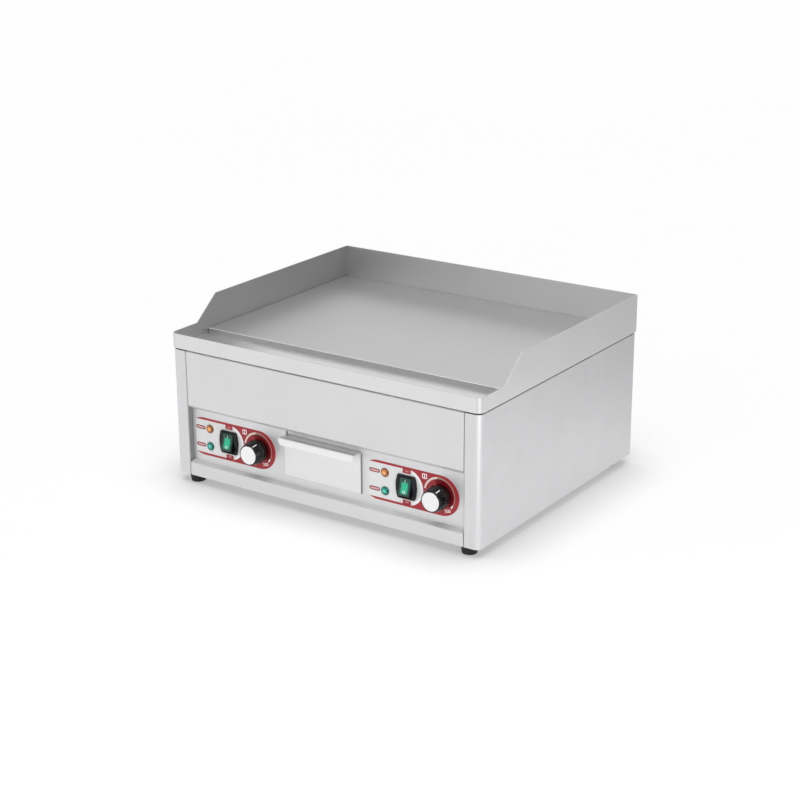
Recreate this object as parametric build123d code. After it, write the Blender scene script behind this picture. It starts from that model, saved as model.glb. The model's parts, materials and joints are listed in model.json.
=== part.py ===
"""Two-zone electric countertop griddle: folded steel casing, steel plate, drawer and two control groups.

Every piece is drawn in the casing's own frame: X across, Y backwards from the tray's front face, Z up
from the casing's underside, millimetres. The last lines move all of them so that the origin is the bottom
centre of the griddle's overall box, with the front towards -Y.
"""
from build123d import *
from math import asin, cos, radians, sin, sqrt
import os

# ---------------------------------------------------------------- driving dimensions
# Tray: the open steel box that carries the plate and the splash guard
tray_width = 600.0
tray_depth = 495.0
tray_sheet = 1.5
tray_corner = 12.0              # outer radius of the two front corners
rim_height = 25.0               # front rim, above the tray's underside
guard_height = 65.5             # side and back guards, above the tray's underside
guard_slope_start = 67.0        # where the side guards begin to rise, from the front
guard_slope_run = 50.0
weld_gap = 0.1                  # joint between tray pieces that are welded together
tray_overhang = 1.2             # how far the tray stands proud of the casing
tray_joint = 2.0                # open joint round the casing, under the tray's edge
joint_depth = 4.0               # how far the joint runs in
joint_slope = 3.0               # run of the front panel's joggle up to the tray

# Cooking plate
plate_thickness = 8.0
plate_front = 94.0              # front edge, from the tray's front face
plate_gap = 0.5                 # to the guards
plate_edge = 1.0                # rounding of the top edge
plate_ledge = 20.0              # width of tray floor that the plate rests on

# Casing
casing_height = 219.0
sheet = 1.2
bend = 1.0                      # inner radius of every fold
seam = 0.3                      # gap between neighbouring folded pieces
seat_gap = 0.1                  # between pieces that are screwed against each other
post_width = 28.8               # front face of each side panel, beside the front panel
post_lip = 12.0
rear_return = 18.0
support_flange = 15.0           # flanges that carry the tray
edge_round = 1.0                # rounding of the outer edges
relief = 2.0                    # notch at the ends of the folded lips

# Front panel: fascia, recessed control strip and kick strip
fascia_bottom = 123.0
recess_depth = 10.0
recess_top = 115.8
recess_bottom = 25.0
kick_top = 21.5
front_top_flange = 16.0
end_tab = 9.0

# Base pan, feet and back panel
pan_flange = 15.0
foot_height = 15.5
foot_top_radius = 14.0
foot_bottom_radius = 12.0
foot_side_inset = 30.0          # foot axis from the tray's side
foot_front_inset = 20.0
foot_rear_inset = 34.0
vent_length = 46.0
vent_width = 5.0
vent_pitch = 12.0
vent_rows = 7

# Grease drain, drawer and the sleeve that it runs in
drain_radius = 16.0
drain_outlet = 11.0
drain_wall = 1.0
drain_gap = 0.8                 # spout behind the front panel's top flange
drain_clearance = 4.0           # spout above the drawer's rim
drawer_sheet = 1.0
drawer_half = 70.0
drawer_bottom = 41.6            # underside of the drawer pan
drawer_height = 58.4
drawer_length = 280.0
drawer_corner = 5.0
drawer_side_gap = 0.5           # pan to sleeve
drawer_run_gap = 0.3            # pan above the sleeve's floor, front above the panel
opening_half = 73.0
opening_bottom = 41.0
opening_top = 114.9
front_half = 75.5
front_bottom = 39.5
front_top = 108.0
front_return = 2.7              # depth of the drawer front's folded edge
handle_half = 73.5
handle_reach = 8.5              # lip in front of the tray's front face
handle_drop = 12.0
handle_upstand = 6.6
handle_corner = 6.0
handle_setback = 2.4            # upstand behind the control strip's face
sleeve_side = 42.0
sleeve_tail = 3.0
sleeve_stop = 20.0
sleeve_ear = 12.0

# Control groups, all placed from the knob's axis
group_left_margin = 7.0         # left overlay, from the front panel's left end
group_right_margin = 12.5       # right overlay, from the front panel's right end
control_height = 70.5           # knob axis above the casing's underside
overlay_film = 0.3
overlay_half_height = 33.0
overlay_tail = 134.5            # left end of the overlay, from the knob's axis
overlay_tail_half = 28.8
overlay_taper = 17.0
switch_offset = 63.5
lamp_offset = 104.0
lamp_spacing = 30.6

# Knob and thermostat
knob_gap = 0.8                  # knob above the overlay
knob_skirt_radius = 20.0
knob_skirt_edge = 2.0
knob_neck_radius = 17.6
knob_skirt_height = 6.0
knob_top_radius = 16.4
knob_length = 29.6
knob_wall = 2.4
knob_round = 1.2
knob_hub_radius = 5.5
cap_radius = 15.3
cap_thickness = 1.5
cap_proud = 0.4
cap_gap = 0.1
shaft_radius = 3.0
shaft_flat = 2.2                # flat of the D, from the axis
shaft_reach = 24.0              # in front of the control strip
shaft_fit = 0.05
bush_radius = 5.0
bush_gap = 0.2
thermostat_width = 36.0
thermostat_height = 42.0
thermostat_depth = 28.0
thermostat_chamfer = 2.0
thermostat_screw_spacing = 28.0
thermostat_bore_depth = 14.0
bulb_radius = 3.0
bulb_length = 110.0
bulb_setback = 82.0             # bulb behind the element's front
capillary_radius = 1.0
capillary_bend = 12.6
capillary_rise = 28.0           # straight length above the thermostat

# Rocker switch
rocker_swing = 28.0             # full travel, degrees
rocker_radius = 17.2            # ends of the rocker, from its pivot
rocker_half_width = 11.0
rocker_corner_angle = 57.4      # front corners, from the pivot, with the rocker level
rocker_dish = 1.5               # hollow of the front face
rocker_gap = 0.3
rocker_tail_angle = 88.0
rocker_tail_depth = 6.0
rocker_tail_half = 5.0
pivot_depth = 2.0               # behind the control strip's face
pivot_radius = 1.5
pivot_length = 1.3
pivot_fit = 0.05
bezel_half_width = 15.5
bezel_half_height = 19.6
bezel_bulge = 3.6
bezel_thickness = 3.5
bezel_corner = 2.5
switch_wall = 0.8
switch_side_wall = 3.0
switch_depth = 22.0             # housing behind the control strip's face
blade_width = 6.3
blade_thickness = 0.8
blade_length = 9.0

# Pilot lamps
lamp_radius = 7.2
lamp_dome = 3.6
lamp_barrel = 5.0
lamp_gap = 0.2
lamp_depth = 20.0
lamp_rim = 1.2

# Heating elements, their clamps, the thermostat bulbs and the heat shield
element_radius = 4.0
element_passes = 6
element_first = 30.0            # first pass, from the middle of the griddle
element_side_margin = 58.8      # last pass, from the casing's side
element_front_margin = 24.0     # behind the plate's front edge
element_rear_margin = 35.0      # in front of the tray's back
element_gap = 0.2               # under the plate
element_end_drop = 52.0
element_end_bend = 14.0
element_turn_flat = 1.0         # straight part at the middle of each turn
terminal_radius = 2.0
terminal_length = 10.0
clamp_width = 14.0
clamp_thickness = 3.0
clamp_overrun = 12.0
clamp_front_setback = 72.0      # behind the element's front
clamp_rear_setback = 65.0       # in front of the element's rear
clamp_gap = 0.1
stud_radius = 3.0
stud_length = 15.5
stud_gap = 0.2
nut_flats = 10.0
nut_height = 5.0
shield_sheet = 1.0
shield_front = 100.0
shield_height = 39.0
shield_pass_radius = 7.0        # holes for the element ends and capillaries
blanket_thickness = 21.6
blanket_front = 134.0
blanket_gap = 1.0

# Mains side
gland_inset = 83.8              # gland axis, from the casing's side
gland_height = 48.0
gland_thread_radius = 10.9
gland_cable_radius = 5.6
gland_hex_flats = 27.0
gland_hex_height = 6.0
gland_dome_radius = 11.6
gland_dome_height = 12.0
gland_nut_height = 5.0
gland_thread_length = 9.0
hole_gap = 0.3
block_length = 62.0
block_width = 22.0
block_height = 18.0
block_wells = 5
block_well = 8.0
block_back = 60.0               # terminal block's middle, from the casing's back
bond_inset = 36.8               # from the casing's side
bond_height = 30.0
bond_radius = 3.0
bond_length = 14.0
bond_inside = 8.0
screw_radius = 2.0
screw_head_radius = 3.6
screw_head_height = 2.2
screw_length = 6.0
back_screw_inset = 27.0         # from the casing's top and bottom
foot_screw_head = 5.5
foot_screw_head_height = 4.0
foot_bore = 6.2
foot_bore_depth = 7.0

# ---------------------------------------------------------------- worked out from them
casing_half = tray_width / 2 - tray_overhang
casing_front = tray_overhang
casing_back = tray_depth - tray_overhang
casing_corner = tray_corner - tray_overhang
tray_inside_half = tray_width / 2 - tray_sheet
tray_floor_top = casing_height + tray_sheet
joint_floor = casing_height - tray_joint
plate_top = tray_floor_top + plate_thickness
strip_face = casing_front + recess_depth
strip_back = strip_face + sheet
post_edge = casing_half - post_width
panel_half = post_edge - seam
back_face = casing_back - sheet
drawer_front_face = strip_face - drawer_run_gap - front_return
drawer_pan_front = drawer_front_face + sheet
drawer_top = drawer_bottom + drawer_height
drain_centre = casing_front + front_top_flange + drain_gap + drain_radius + drain_wall
sleeve_floor_top = drawer_bottom - drawer_run_gap
sleeve_half = drawer_half + drawer_side_gap
sleeve_rear = drawer_pan_front + drawer_length + sleeve_tail
overlay_face = strip_face - overlay_film
knob_base = overlay_face - knob_gap
knob_face = knob_base - knob_length
pivot_plane = strip_face + pivot_depth
rocker_well_half = rocker_radius + rocker_gap
element_axis_height = tray_floor_top - element_gap - element_radius
bulb_axis_height = tray_floor_top - element_gap - bulb_radius
clamp_top = element_axis_height - element_radius - clamp_gap
element_pitch = (casing_half - element_side_margin - element_first) / (element_passes - 1)
element_front = plate_front + element_front_margin
element_rear = tray_depth - element_rear_margin
clamp_front = element_front + clamp_front_setback
clamp_rear = element_rear - clamp_rear_setback
zone_middle = element_first + element_pitch * (element_passes - 1) / 2
shield_bottom = casing_height - shield_height
shield_half = casing_half - support_flange - seam
shield_rear = back_face - support_flange - seam
knob_axes = {
    "left": overlay_tail + group_left_margin - panel_half,
    "right": panel_half - group_right_margin - overlay_half_height,
}
zone_side = {"left": -1, "right": 1}
gland_side = gland_inset - casing_half
gland_end = back_face + gland_hex_height + gland_dome_height
bond_side = bond_inset - casing_half
feet = {
    "front_left": (-tray_width / 2 + foot_side_inset, foot_front_inset),
    "front_right": (tray_width / 2 - foot_side_inset, foot_front_inset),
    "rear_left": (-tray_width / 2 + foot_side_inset, tray_depth - foot_rear_inset),
    "rear_right": (tray_width / 2 - foot_side_inset, tray_depth - foot_rear_inset),
}


# ---------------------------------------------------------------- shared shapes
def block(x_span, y_span, z_span):
    """Rectangular solid between two limits along each axis."""
    size = [high - low for low, high in (x_span, y_span, z_span)]
    middle = [(low + high) / 2 for low, high in (x_span, y_span, z_span)]
    return Pos(*middle) * Box(*size)


def rod(radius, start, length, direction=(0, 0, 1)):
    """Round bar that starts at a point and runs along a direction."""
    plane = Plane(origin=start, z_dir=direction)
    return extrude(plane * Circle(radius), amount=length)


def hexagon(flats, start, length, direction=(0, 0, 1)):
    """Hexagonal bar, such as a nut without its thread."""
    plane = Plane(origin=start, z_dir=direction)
    return extrude(plane * RegularPolygon(flats / sqrt(3), 6), amount=length)


def sheet_profile(points, thickness, inner_radius=bend):
    """Section of a folded sheet along its mid-line, with a true radius at every fold."""
    return trace(FilletPolyline(*points, radius=inner_radius + thickness / 2), line_width=thickness)


def seat_section(edge, inward):
    """Section of the flange that carries the tray, stepped down towards its outer edge."""
    step, end = edge + inward * joint_depth, edge + inward * support_flange
    riser = step + inward * sheet
    return make_face(Polyline(
        (edge, joint_floor - sheet), (edge, joint_floor), (step, joint_floor), (step, casing_height),
        (end, casing_height), (end, casing_height - sheet), (riser, casing_height - sheet),
        (riser, joint_floor - sheet), close=True))


def across(section, half_width):
    """Run a section drawn in the Y-Z plane to both sides of the middle."""
    return extrude(Plane.YZ * section, amount=half_width, both=True)


def tube_route(points, radii, tube_radius):
    """Round tube along straight runs joined by tangent arcs."""
    route = FilletPolyline(*points, radius=radii)
    return sweep(Plane(origin=route @ 0, z_dir=route % 0) * Circle(tube_radius), path=route)


# ---------------------------------------------------------------- tray and plate
def tray_outline(inset):
    """Plan of the tray: round front corners, square back corners."""
    half = tray_width / 2 - inset
    front, back, radius = inset, tray_depth - inset, tray_corner - inset
    outline = Polyline((half, back), (-half, back), (-half, front), (half, front), close=True)
    face = make_face(outline)
    corners = [v for v in face.vertices() if v.Y < tray_depth / 2]
    return fillet(corners, radius)


def splash_guard():
    """Wall round the tray: a low front rim that rises along a slope to the side and back guards."""
    outside, inside = (
        Pos(0, 0, casing_height) * extrude(tray_outline(inset), amount=guard_height)
        for inset in (0, tray_sheet))
    ring = fillet(outside.faces().sort_by(Axis.Z)[0].edges(), edge_round) - inside
    slope_end = guard_slope_start + guard_slope_run
    side_view = make_face(Polyline(
        (0, 0), (tray_depth, 0), (tray_depth, guard_height), (slope_end, guard_height),
        (guard_slope_start, rim_height), (0, rim_height), close=True))
    return ring & (Pos(0, 0, casing_height) * across(side_view, tray_width))


def tray_floor():
    """Floor of the grease trough, with a ledge under the plate and the drain hole."""
    floor = Pos(0, 0, casing_height) * extrude(tray_outline(tray_sheet + weld_gap), amount=tray_sheet)
    inner = tray_inside_half - plate_gap - plate_ledge
    window = block(
        (-inner, inner),
        (plate_front + plate_ledge, tray_depth - tray_sheet - plate_gap - plate_ledge),
        (casing_height - tray_sheet, tray_floor_top + tray_sheet))
    drain = rod(drain_radius, (0, drain_centre, casing_height - tray_sheet), 3 * tray_sheet)
    return floor - window - drain


def griddle_plate():
    """Ground steel plate, with its top edges slightly rounded."""
    half = tray_inside_half - plate_gap
    back = tray_depth - tray_sheet - plate_gap
    plate = block((-half, half), (plate_front, back), (tray_floor_top, plate_top))
    return fillet(plate.faces().sort_by(Axis.Z)[-1].edges(), plate_edge)


def drain_spout():
    """Tapered spout from the trough to just above the drawer."""
    outlet_height = drawer_top + drain_clearance
    length = casing_height - outlet_height
    centre = Pos(0, drain_centre, outlet_height + length / 2)
    outside = Cone(drain_outlet + drain_wall, drain_radius + drain_wall, length)
    return centre * (outside - Cone(drain_outlet, drain_radius, length))


# ---------------------------------------------------------------- casing
def right_side_panel():
    """Side wall folded round the front corner into the post and its lip, and in at the back and the top."""
    half_sheet = sheet / 2
    outer, front, back = casing_half - half_sheet, casing_front + half_sheet, casing_back - half_sheet
    fold = bend + half_sheet
    plan = FilletPolyline(
        (post_edge + half_sheet, casing_front + post_lip), (post_edge + half_sheet, front), (outer, front),
        (outer, back), (casing_half - rear_return, back),
        radius=[fold, casing_corner - half_sheet, fold])
    panel = extrude(trace(plan, line_width=sheet), amount=joint_floor)
    flange_start, flange_end = casing_front + post_lip, casing_back - support_flange
    seat = extrude(Plane.XZ * seat_section(casing_half, -1), amount=flange_start - flange_end)
    panel += Pos(0, flange_start, 0) * seat
    lip_width = (post_edge - sheet, post_edge + 2 * sheet)
    lip_depth = (casing_front + sheet, casing_front + 2 * post_lip)
    for low, high in ((-relief, sheet + relief), (joint_floor - sheet - relief, casing_height)):
        panel -= block(lip_width, lip_depth, (low, high))
    for x, z in back_screw_places():
        panel -= rod(screw_radius + bush_gap, (x, back_face - sheet, z), 3 * sheet, (0, 1, 0))
    outer_edge = panel.edges().filter_by(Axis.Y).group_by(Axis.X)[-1].sort_by(Axis.Z)[-1]
    return fillet(outer_edge, edge_round)


def left_side_panel():
    return mirror(right_side_panel(), about=Plane.YZ)


def front_profile():
    """Section of the front panel: top flange, fascia, recessed control strip and kick strip."""
    half_sheet = sheet / 2
    front, recessed = casing_front + half_sheet, strip_face + half_sheet
    return sheet_profile(
        ((casing_front + front_top_flange, casing_height - half_sheet),
         (casing_front + joint_depth + joint_slope, casing_height - half_sheet),
         (casing_front + joint_depth, joint_floor - half_sheet), (front, joint_floor - half_sheet),
         (front, fascia_bottom), (recessed, recess_top), (recessed, recess_bottom), (front, kick_top),
         (front, 0)),
        sheet)


def end_rounding(side):
    """Waste along one upright front edge of the front panel."""
    corner = block(
        (panel_half - edge_round, panel_half + edge_round),
        (casing_front - edge_round, casing_front + edge_round), (-sheet, casing_height))
    waste = corner - rod(edge_round, (panel_half - edge_round, casing_front + edge_round, -sheet),
                         casing_height + sheet)
    return waste if side > 0 else mirror(waste, about=Plane.YZ)


def front_panel():
    """One folded sheet with end tabs and the openings of the controls and the drawer."""
    panel = across(front_profile(), panel_half)
    tab_middle = casing_front + sheet + end_tab / 2
    for side in (-1, 1):
        edge = side * (panel_half - sheet / 2)
        panel += Pos(edge, tab_middle, (fascia_bottom + casing_height) / 2) * Box(
            sheet, end_tab, casing_height - fascia_bottom - 2 * front_top_flange)
        panel -= end_rounding(side)
    cut_depth = (strip_face - sheet, strip_back + sheet)
    panel -= block((-opening_half, opening_half), cut_depth, (opening_bottom, opening_top))
    for axis in knob_axes.values():
        panel -= rod(bush_radius + bush_gap, (axis, cut_depth[0], control_height), 3 * sheet, (0, 1, 0))
        for x, z in thermostat_screw_places(axis):
            panel -= rod(screw_radius + bush_gap, (x, cut_depth[0], z), 3 * sheet, (0, 1, 0))
        switch = axis - switch_offset
        half_width = rocker_half_width + rocker_gap + switch_side_wall + switch_gap()
        half_height = rocker_well_half + switch_wall + switch_gap()
        panel -= block(
            (switch - half_width, switch + half_width), cut_depth,
            (control_height - half_height, control_height + half_height))
        for x, z in lamp_places(axis):
            panel -= rod(lamp_barrel + lamp_gap, (x, cut_depth[0], z), 3 * sheet, (0, 1, 0))
    return panel


def switch_gap():
    """Clearance of the switch housing in its cut-out."""
    return lamp_gap / 2


def vent_slots(columns, row_height, make_slot):
    """Vent slots in rows, one column at each place across."""
    first = row_height - vent_pitch * (vent_rows - 1) / 2
    slots = [make_slot(x, first + row * vent_pitch) for x in columns for row in range(vent_rows)]
    return Compound(children=slots)


def back_panel():
    """Rear wall inside the side panels' returns, with vents, a top flange and the cable and bonding holes."""
    inner = back_face - sheet
    half = casing_half - sheet - bend - seam
    panel = block((-half, half), (inner, back_face), (sheet + seam, joint_floor - sheet))
    panel += across(seat_section(back_face, -1), casing_half - support_flange - seam)
    upper_edge = panel.edges().filter_by(Axis.X).group_by(Axis.Y)[-1].sort_by(Axis.Z)[-1]
    panel = fillet(upper_edge, edge_round)
    slot = Plane.XZ * SlotOverall(vent_length, vent_width)
    panel -= vent_slots(
        (-casing_half / 2, 0, casing_half / 2), casing_height / 2 + vent_pitch,
        lambda x, z: Pos(x, back_face + sheet, z) * extrude(slot, amount=3 * sheet))
    for radius, x, z in (
            (gland_thread_radius, gland_side, gland_height), (bond_radius, bond_side, bond_height)):
        panel -= rod(radius + hole_gap, (x, inner - sheet, z), 3 * sheet, (0, 1, 0))
    for x, z in back_screw_places():
        panel -= rod(screw_radius + bush_gap, (x, inner - sheet, z), 3 * sheet, (0, 1, 0))
    return panel


def base_pan():
    """Floor of the casing: turned-up edges, foot holes and vent slots."""
    half = casing_half - sheet - seam
    front, back = casing_front + sheet + seam, back_face - sheet - seam
    floor = block((-half, half), (front, back), (0, sheet))
    corners = floor.edges().filter_by(Axis.Z).group_by(Axis.Y)[0]
    pan = fillet(corners, casing_corner)
    wall_height = (sheet / 2, pan_flange)
    side_run = (casing_front + post_lip + relief, back - pan_flange)
    pan += block((-panel_half + relief, panel_half - relief), (front, front + sheet), wall_height)
    pan += block((-half + pan_flange, half - pan_flange), (back - sheet, back), wall_height)
    for edge in (-half, half - sheet):
        pan += block((edge, edge + sheet), side_run, wall_height)
    for x, y in feet.values():
        pan -= rod(stud_radius + stud_gap, (x, y, -sheet), 3 * sheet)
    slot = Rot(0, 0, 90) * SlotOverall(vent_length, vent_width)
    for side in (-1, 1):
        first = side * casing_half / 2 - (vent_rows - 1) / 2 * vent_pitch
        for column in range(vent_rows):
            pan -= Pos(first + column * vent_pitch, tray_depth / 2, -sheet) * extrude(slot, amount=3 * sheet)
    return pan


def foot(x, y):
    """Tapered rubber foot with a counterbore for its screw."""
    body = Pos(x, y, -foot_height / 2) * Cone(foot_bottom_radius, foot_top_radius, foot_height)
    body = fillet(body.edges().sort_by(Axis.Z)[0], edge_round)
    body -= rod(stud_radius + stud_gap, (x, y, -foot_height), foot_height)
    return body - rod(foot_bore, (x, y, -foot_height), foot_bore_depth)


def foot_screws():
    """Screws up through the feet, with their nuts inside the base pan."""
    pieces = []
    for x, y in feet.values():
        seat = -foot_height + foot_bore_depth
        shank = rod(stud_radius, (x, y, seat), nut_height + 2 * sheet - seat)
        head = rod(foot_screw_head, (x, y, seat - foot_screw_head_height), foot_screw_head_height)
        pieces.append(shank + head)
    return Compound(children=pieces)


def foot_nuts():
    pieces = [
        hexagon(nut_flats, (x, y, sheet), nut_height) - rod(stud_radius + stud_gap, (x, y, 0), 2 * nut_height)
        for x, y in feet.values()]
    return Compound(children=pieces)


def back_screw_places():
    """Screws that hold the back panel to the side panels' returns."""
    x = casing_half - rear_return / 2
    heights = (back_screw_inset, casing_height / 2, casing_height - back_screw_inset)
    return [(side * x, z) for side in (-1, 1) for z in heights]


def pan_head_screw(x, y, z, direction):
    """Small screw whose head rests at y and whose shank runs along the direction."""
    back = tuple(-value for value in direction)
    head = rod(screw_head_radius, (x, y, z), screw_head_height, back)
    rounded = fillet(head.edges().group_by(Axis.Y)[-1], screw_head_height / 2)
    return rounded + rod(screw_radius, (x, y, z), screw_length, direction)


def back_screws():
    return Compound(children=[pan_head_screw(x, casing_back, z, (0, -1, 0)) for x, z in back_screw_places()])


# ---------------------------------------------------------------- drawer
def drawer_pan():
    """Open box with rounded corners that catches the grease."""
    front, back = drawer_pan_front, drawer_pan_front + drawer_length

    def shell(inset, low, high):
        solid = block((-drawer_half + inset, drawer_half - inset), (front + inset, back - inset), (low, high))
        return fillet(solid.edges().filter_by(Axis.Z), drawer_corner - inset)

    outside = shell(0, drawer_bottom, drawer_top)
    return outside - shell(drawer_sheet, drawer_bottom + drawer_sheet, drawer_top + drawer_sheet)


def drawer_front():
    """Front plate with its edges folded back towards the control strip."""
    back = drawer_front_face + front_return
    plate = block((-front_half, front_half), (drawer_front_face, back), (front_bottom, front_top))
    plate = fillet(plate.edges().group_by(Axis.Y)[0], edge_round)
    hollow = block(
        (-front_half + sheet, front_half - sheet), (drawer_pan_front, back + sheet),
        (front_bottom + sheet, front_top - sheet))
    return plate - hollow


def drawer_handle():
    """Folded strip: upstand behind the control strip, shelf over the drawer front and a hanging lip."""
    half_sheet = sheet / 2
    rear = strip_face + handle_setback + half_sheet
    shelf = front_top + half_sheet
    lip = half_sheet - handle_reach
    section = sheet_profile(
        ((rear, front_top + handle_upstand), (rear, shelf), (lip, shelf),
         (lip, front_top + sheet - handle_drop)), sheet)
    strip = across(section, handle_half)
    for side in (-1, 1):
        low, high = sorted((side * (opening_half - seam), side * (handle_half + sheet)))
        strip -= block(
            (low, high), (strip_face - 2 * seam, rear + sheet),
            (front_top - sheet, front_top + 2 * handle_upstand))
    corners = strip.edges().filter_by(Axis.Y).group_by(Axis.Z)[0]
    return fillet(corners, handle_corner)


def drawer_sleeve():
    """Channel under and beside the drawer, with ears against the control strip and a stop at the back."""
    wall = (sleeve_half, sleeve_half + drawer_sheet)
    start = strip_back + seat_gap
    end = sleeve_rear + drawer_sheet
    floor_low = sleeve_floor_top - drawer_sheet
    sleeve = block((-wall[1], wall[1]), (start, end), (floor_low, sleeve_floor_top))
    for side in (-1, 1):
        x_span = sorted((side * wall[0], side * wall[1]))
        sleeve += block(x_span, (start, sleeve_rear), (floor_low, floor_low + sleeve_side))
        ear = sorted((side * wall[0], side * (wall[1] + sleeve_ear)))
        ear_height = (floor_low + drawer_sheet, floor_low + sleeve_side)
        sleeve += block(ear, (start, start + drawer_sheet), ear_height)
    return sleeve + block((-wall[1], wall[1]), (sleeve_rear, end), (floor_low, floor_low + sleeve_stop))


def sleeve_bracket():
    """Folded stand on the base pan that carries the back of the sleeve."""
    half_sheet = sheet / 2
    top = sleeve_floor_top - drawer_sheet - half_sheet
    rear = sleeve_rear - pan_flange
    section = sheet_profile(
        ((rear - 2 * pan_flange, sheet + half_sheet), (rear - pan_flange, sheet + half_sheet),
         (rear - pan_flange, top), (rear, top)), sheet)
    return across(section, sleeve_half)


# ---------------------------------------------------------------- controls
def lamp_places(axis):
    """Amber lamp above, green lamp below."""
    return [(axis - lamp_offset, control_height + step * lamp_spacing / 2) for step in (1, -1)]


def thermostat_screw_places(axis):
    return [(axis, control_height + step * thermostat_screw_spacing / 2) for step in (1, -1)]


def bezel_outline():
    """Outline of the switch bezel, drawn round its own middle: straight ends and gently bulged sides."""
    w, h = bezel_half_width, bezel_half_height
    outline = [
        Line((-w, -h), (w, -h)), ThreePointArc((w, -h), (w + bezel_bulge, 0), (w, h)),
        Line((w, h), (-w, h)), ThreePointArc((-w, h), (-w - bezel_bulge, 0), (-w, -h))]
    face = make_face(outline)
    return fillet(face.vertices(), bezel_corner)


def control_overlay(axis):
    """Thin printed film behind the knob, the switch and the lamps."""
    h, tail, tail_half = overlay_half_height, overlay_tail, overlay_tail_half
    shoulder = overlay_taper - tail
    outline = [
        Line((-tail, -tail_half), (-tail, tail_half)),
        TangentArc((shoulder, h), (-tail, tail_half), tangent=(-1, 0)), Line((shoulder, h), (0, h)),
        ThreePointArc((0, h), (h, 0), (0, -h)), Line((0, -h), (shoulder, -h)),
        TangentArc((shoulder, -h), (-tail, -tail_half), tangent=(-1, 0))]
    face = make_face(outline) - Circle(bush_radius + bush_gap)
    face -= Pos(-switch_offset, 0) * Rectangle(
        2 * (rocker_half_width + rocker_gap + switch_side_wall + switch_gap()),
        2 * (rocker_well_half + switch_wall + switch_gap()))
    for x, z in lamp_places(0):
        face -= Pos(x, z - control_height) * Circle(lamp_barrel + lamp_gap)
    return Pos(axis, strip_face, control_height) * extrude(Plane.XZ * face, amount=overlay_film)


def pilot_lamp(x, z):
    """Moulded lamp: domed lens in front of the overlay and a barrel through the control strip."""
    base = overlay_face
    dome_radius = (lamp_radius ** 2 + (lamp_dome - lamp_rim) ** 2) / (2 * (lamp_dome - lamp_rim))
    tip = base - lamp_dome
    half_angle = asin(lamp_radius / dome_radius) / 2
    middle = (dome_radius * sin(half_angle), tip + dome_radius * (1 - cos(half_angle)))
    outline = [
        Polyline(
            (0, tip), (0, base + lamp_depth), (lamp_barrel, base + lamp_depth), (lamp_barrel, base),
            (lamp_radius, base), (lamp_radius, base - lamp_rim)),
        ThreePointArc((lamp_radius, base - lamp_rim), middle, (0, tip))]
    return Pos(x, 0, z) * revolve(make_face(outline), axis=Axis.Y)


def knob(axis):
    """Hollow moulded knob: flared skirt, tapered grip, seat for the cap and a hub that fits the D-shaft."""
    inner_face = knob_face + cap_thickness + knob_wall
    neck = knob_base - knob_skirt_height
    seat_depth = 2 * cap_thickness - cap_proud
    outside = make_face(Polyline(
        (0, knob_base), (knob_skirt_radius, knob_base), (knob_skirt_radius, knob_base - knob_skirt_edge),
        (knob_neck_radius, neck), (knob_top_radius, knob_face), (0, knob_face), close=True))
    rim = outside.vertices().sort_by(Axis.Y)[:2].sort_by(Axis.X)[-1]
    body = revolve(fillet(rim, knob_round), axis=Axis.Y)
    hollow = make_face(Polyline(
        (knob_hub_radius, knob_base + knob_gap), (knob_neck_radius - knob_wall, knob_base + knob_gap),
        (knob_neck_radius - knob_wall, neck), (knob_top_radius - knob_wall, inner_face),
        (knob_hub_radius, inner_face), close=True))
    body -= revolve(hollow, axis=Axis.Y)
    body -= rod(cap_radius + cap_gap, (0, knob_face - cap_thickness, 0), seat_depth, (0, 1, 0))
    shaft_end = strip_face - shaft_reach
    bore_length = knob_base - shaft_end + 2 * seam
    bore = rod(shaft_radius + shaft_fit, (0, shaft_end - seam, 0), bore_length, (0, 1, 0))
    flat = block(
        (-knob_hub_radius, knob_hub_radius), (shaft_end - sheet, knob_base + sheet),
        (shaft_flat + shaft_fit, knob_hub_radius))
    return Pos(axis, 0, control_height) * (body - (bore - flat))


def knob_cap(axis):
    """Spun metal disc let into the knob's face."""
    face = knob_face - cap_proud
    disc = rod(cap_radius, (0, face, 0), cap_thickness, (0, 1, 0))
    disc = fillet(disc.edges().group_by(Axis.Y)[0], cap_proud)
    return Pos(axis, 0, control_height) * disc


def thermostat_shaft(axis):
    """D-shaped spindle from inside the thermostat to the knob's hub."""
    start = strip_face - shaft_reach
    end = strip_back + thermostat_bore_depth
    shaft = rod(shaft_radius, (0, start, 0), end - start, (0, 1, 0))
    flat = block(
        (-shaft_radius, shaft_radius), (start - sheet, knob_base), (shaft_flat, shaft_radius + shaft_fit))
    return Pos(axis, 0, control_height) * (shaft - flat)


def thermostat(axis):
    """Thermostat body behind the control strip, with a bush through the strip."""
    half_w, half_h = thermostat_width / 2, thermostat_height / 2
    body = block(
        (axis - half_w, axis + half_w), (strip_back, strip_back + thermostat_depth),
        (control_height - half_h, control_height + half_h))
    body = chamfer(body.faces().sort_by(Axis.Y)[-1].edges(), thermostat_chamfer)
    body += rod(bush_radius, (axis, strip_face, control_height), sheet * 2, (0, 1, 0))
    body -= rod(
        shaft_radius + shaft_fit, (axis, strip_face - sheet, control_height),
        2 * sheet + thermostat_bore_depth + seam, (0, 1, 0))
    for x, z in thermostat_screw_places(axis):
        body -= rod(screw_radius + shaft_fit, (x, strip_face, z), screw_length + 2 * sheet, (0, 1, 0))
    blade = Box(blade_width, blade_thickness, blade_length)
    blade_height = control_height + half_h + blade_length / 2 - seam
    for side in (-1, 1):
        body += Pos(axis + side * half_w / 2, strip_back + thermostat_depth / 2, blade_height) * blade
    return body


def thermostat_screws():
    """Flat-headed screws from the control strip into the thermostats."""
    return Compound(children=[
        rod(screw_radius, (x, strip_face + seat_gap, z), screw_length, (0, 1, 0))
        for axis in knob_axes.values() for x, z in thermostat_screw_places(axis)])


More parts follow.
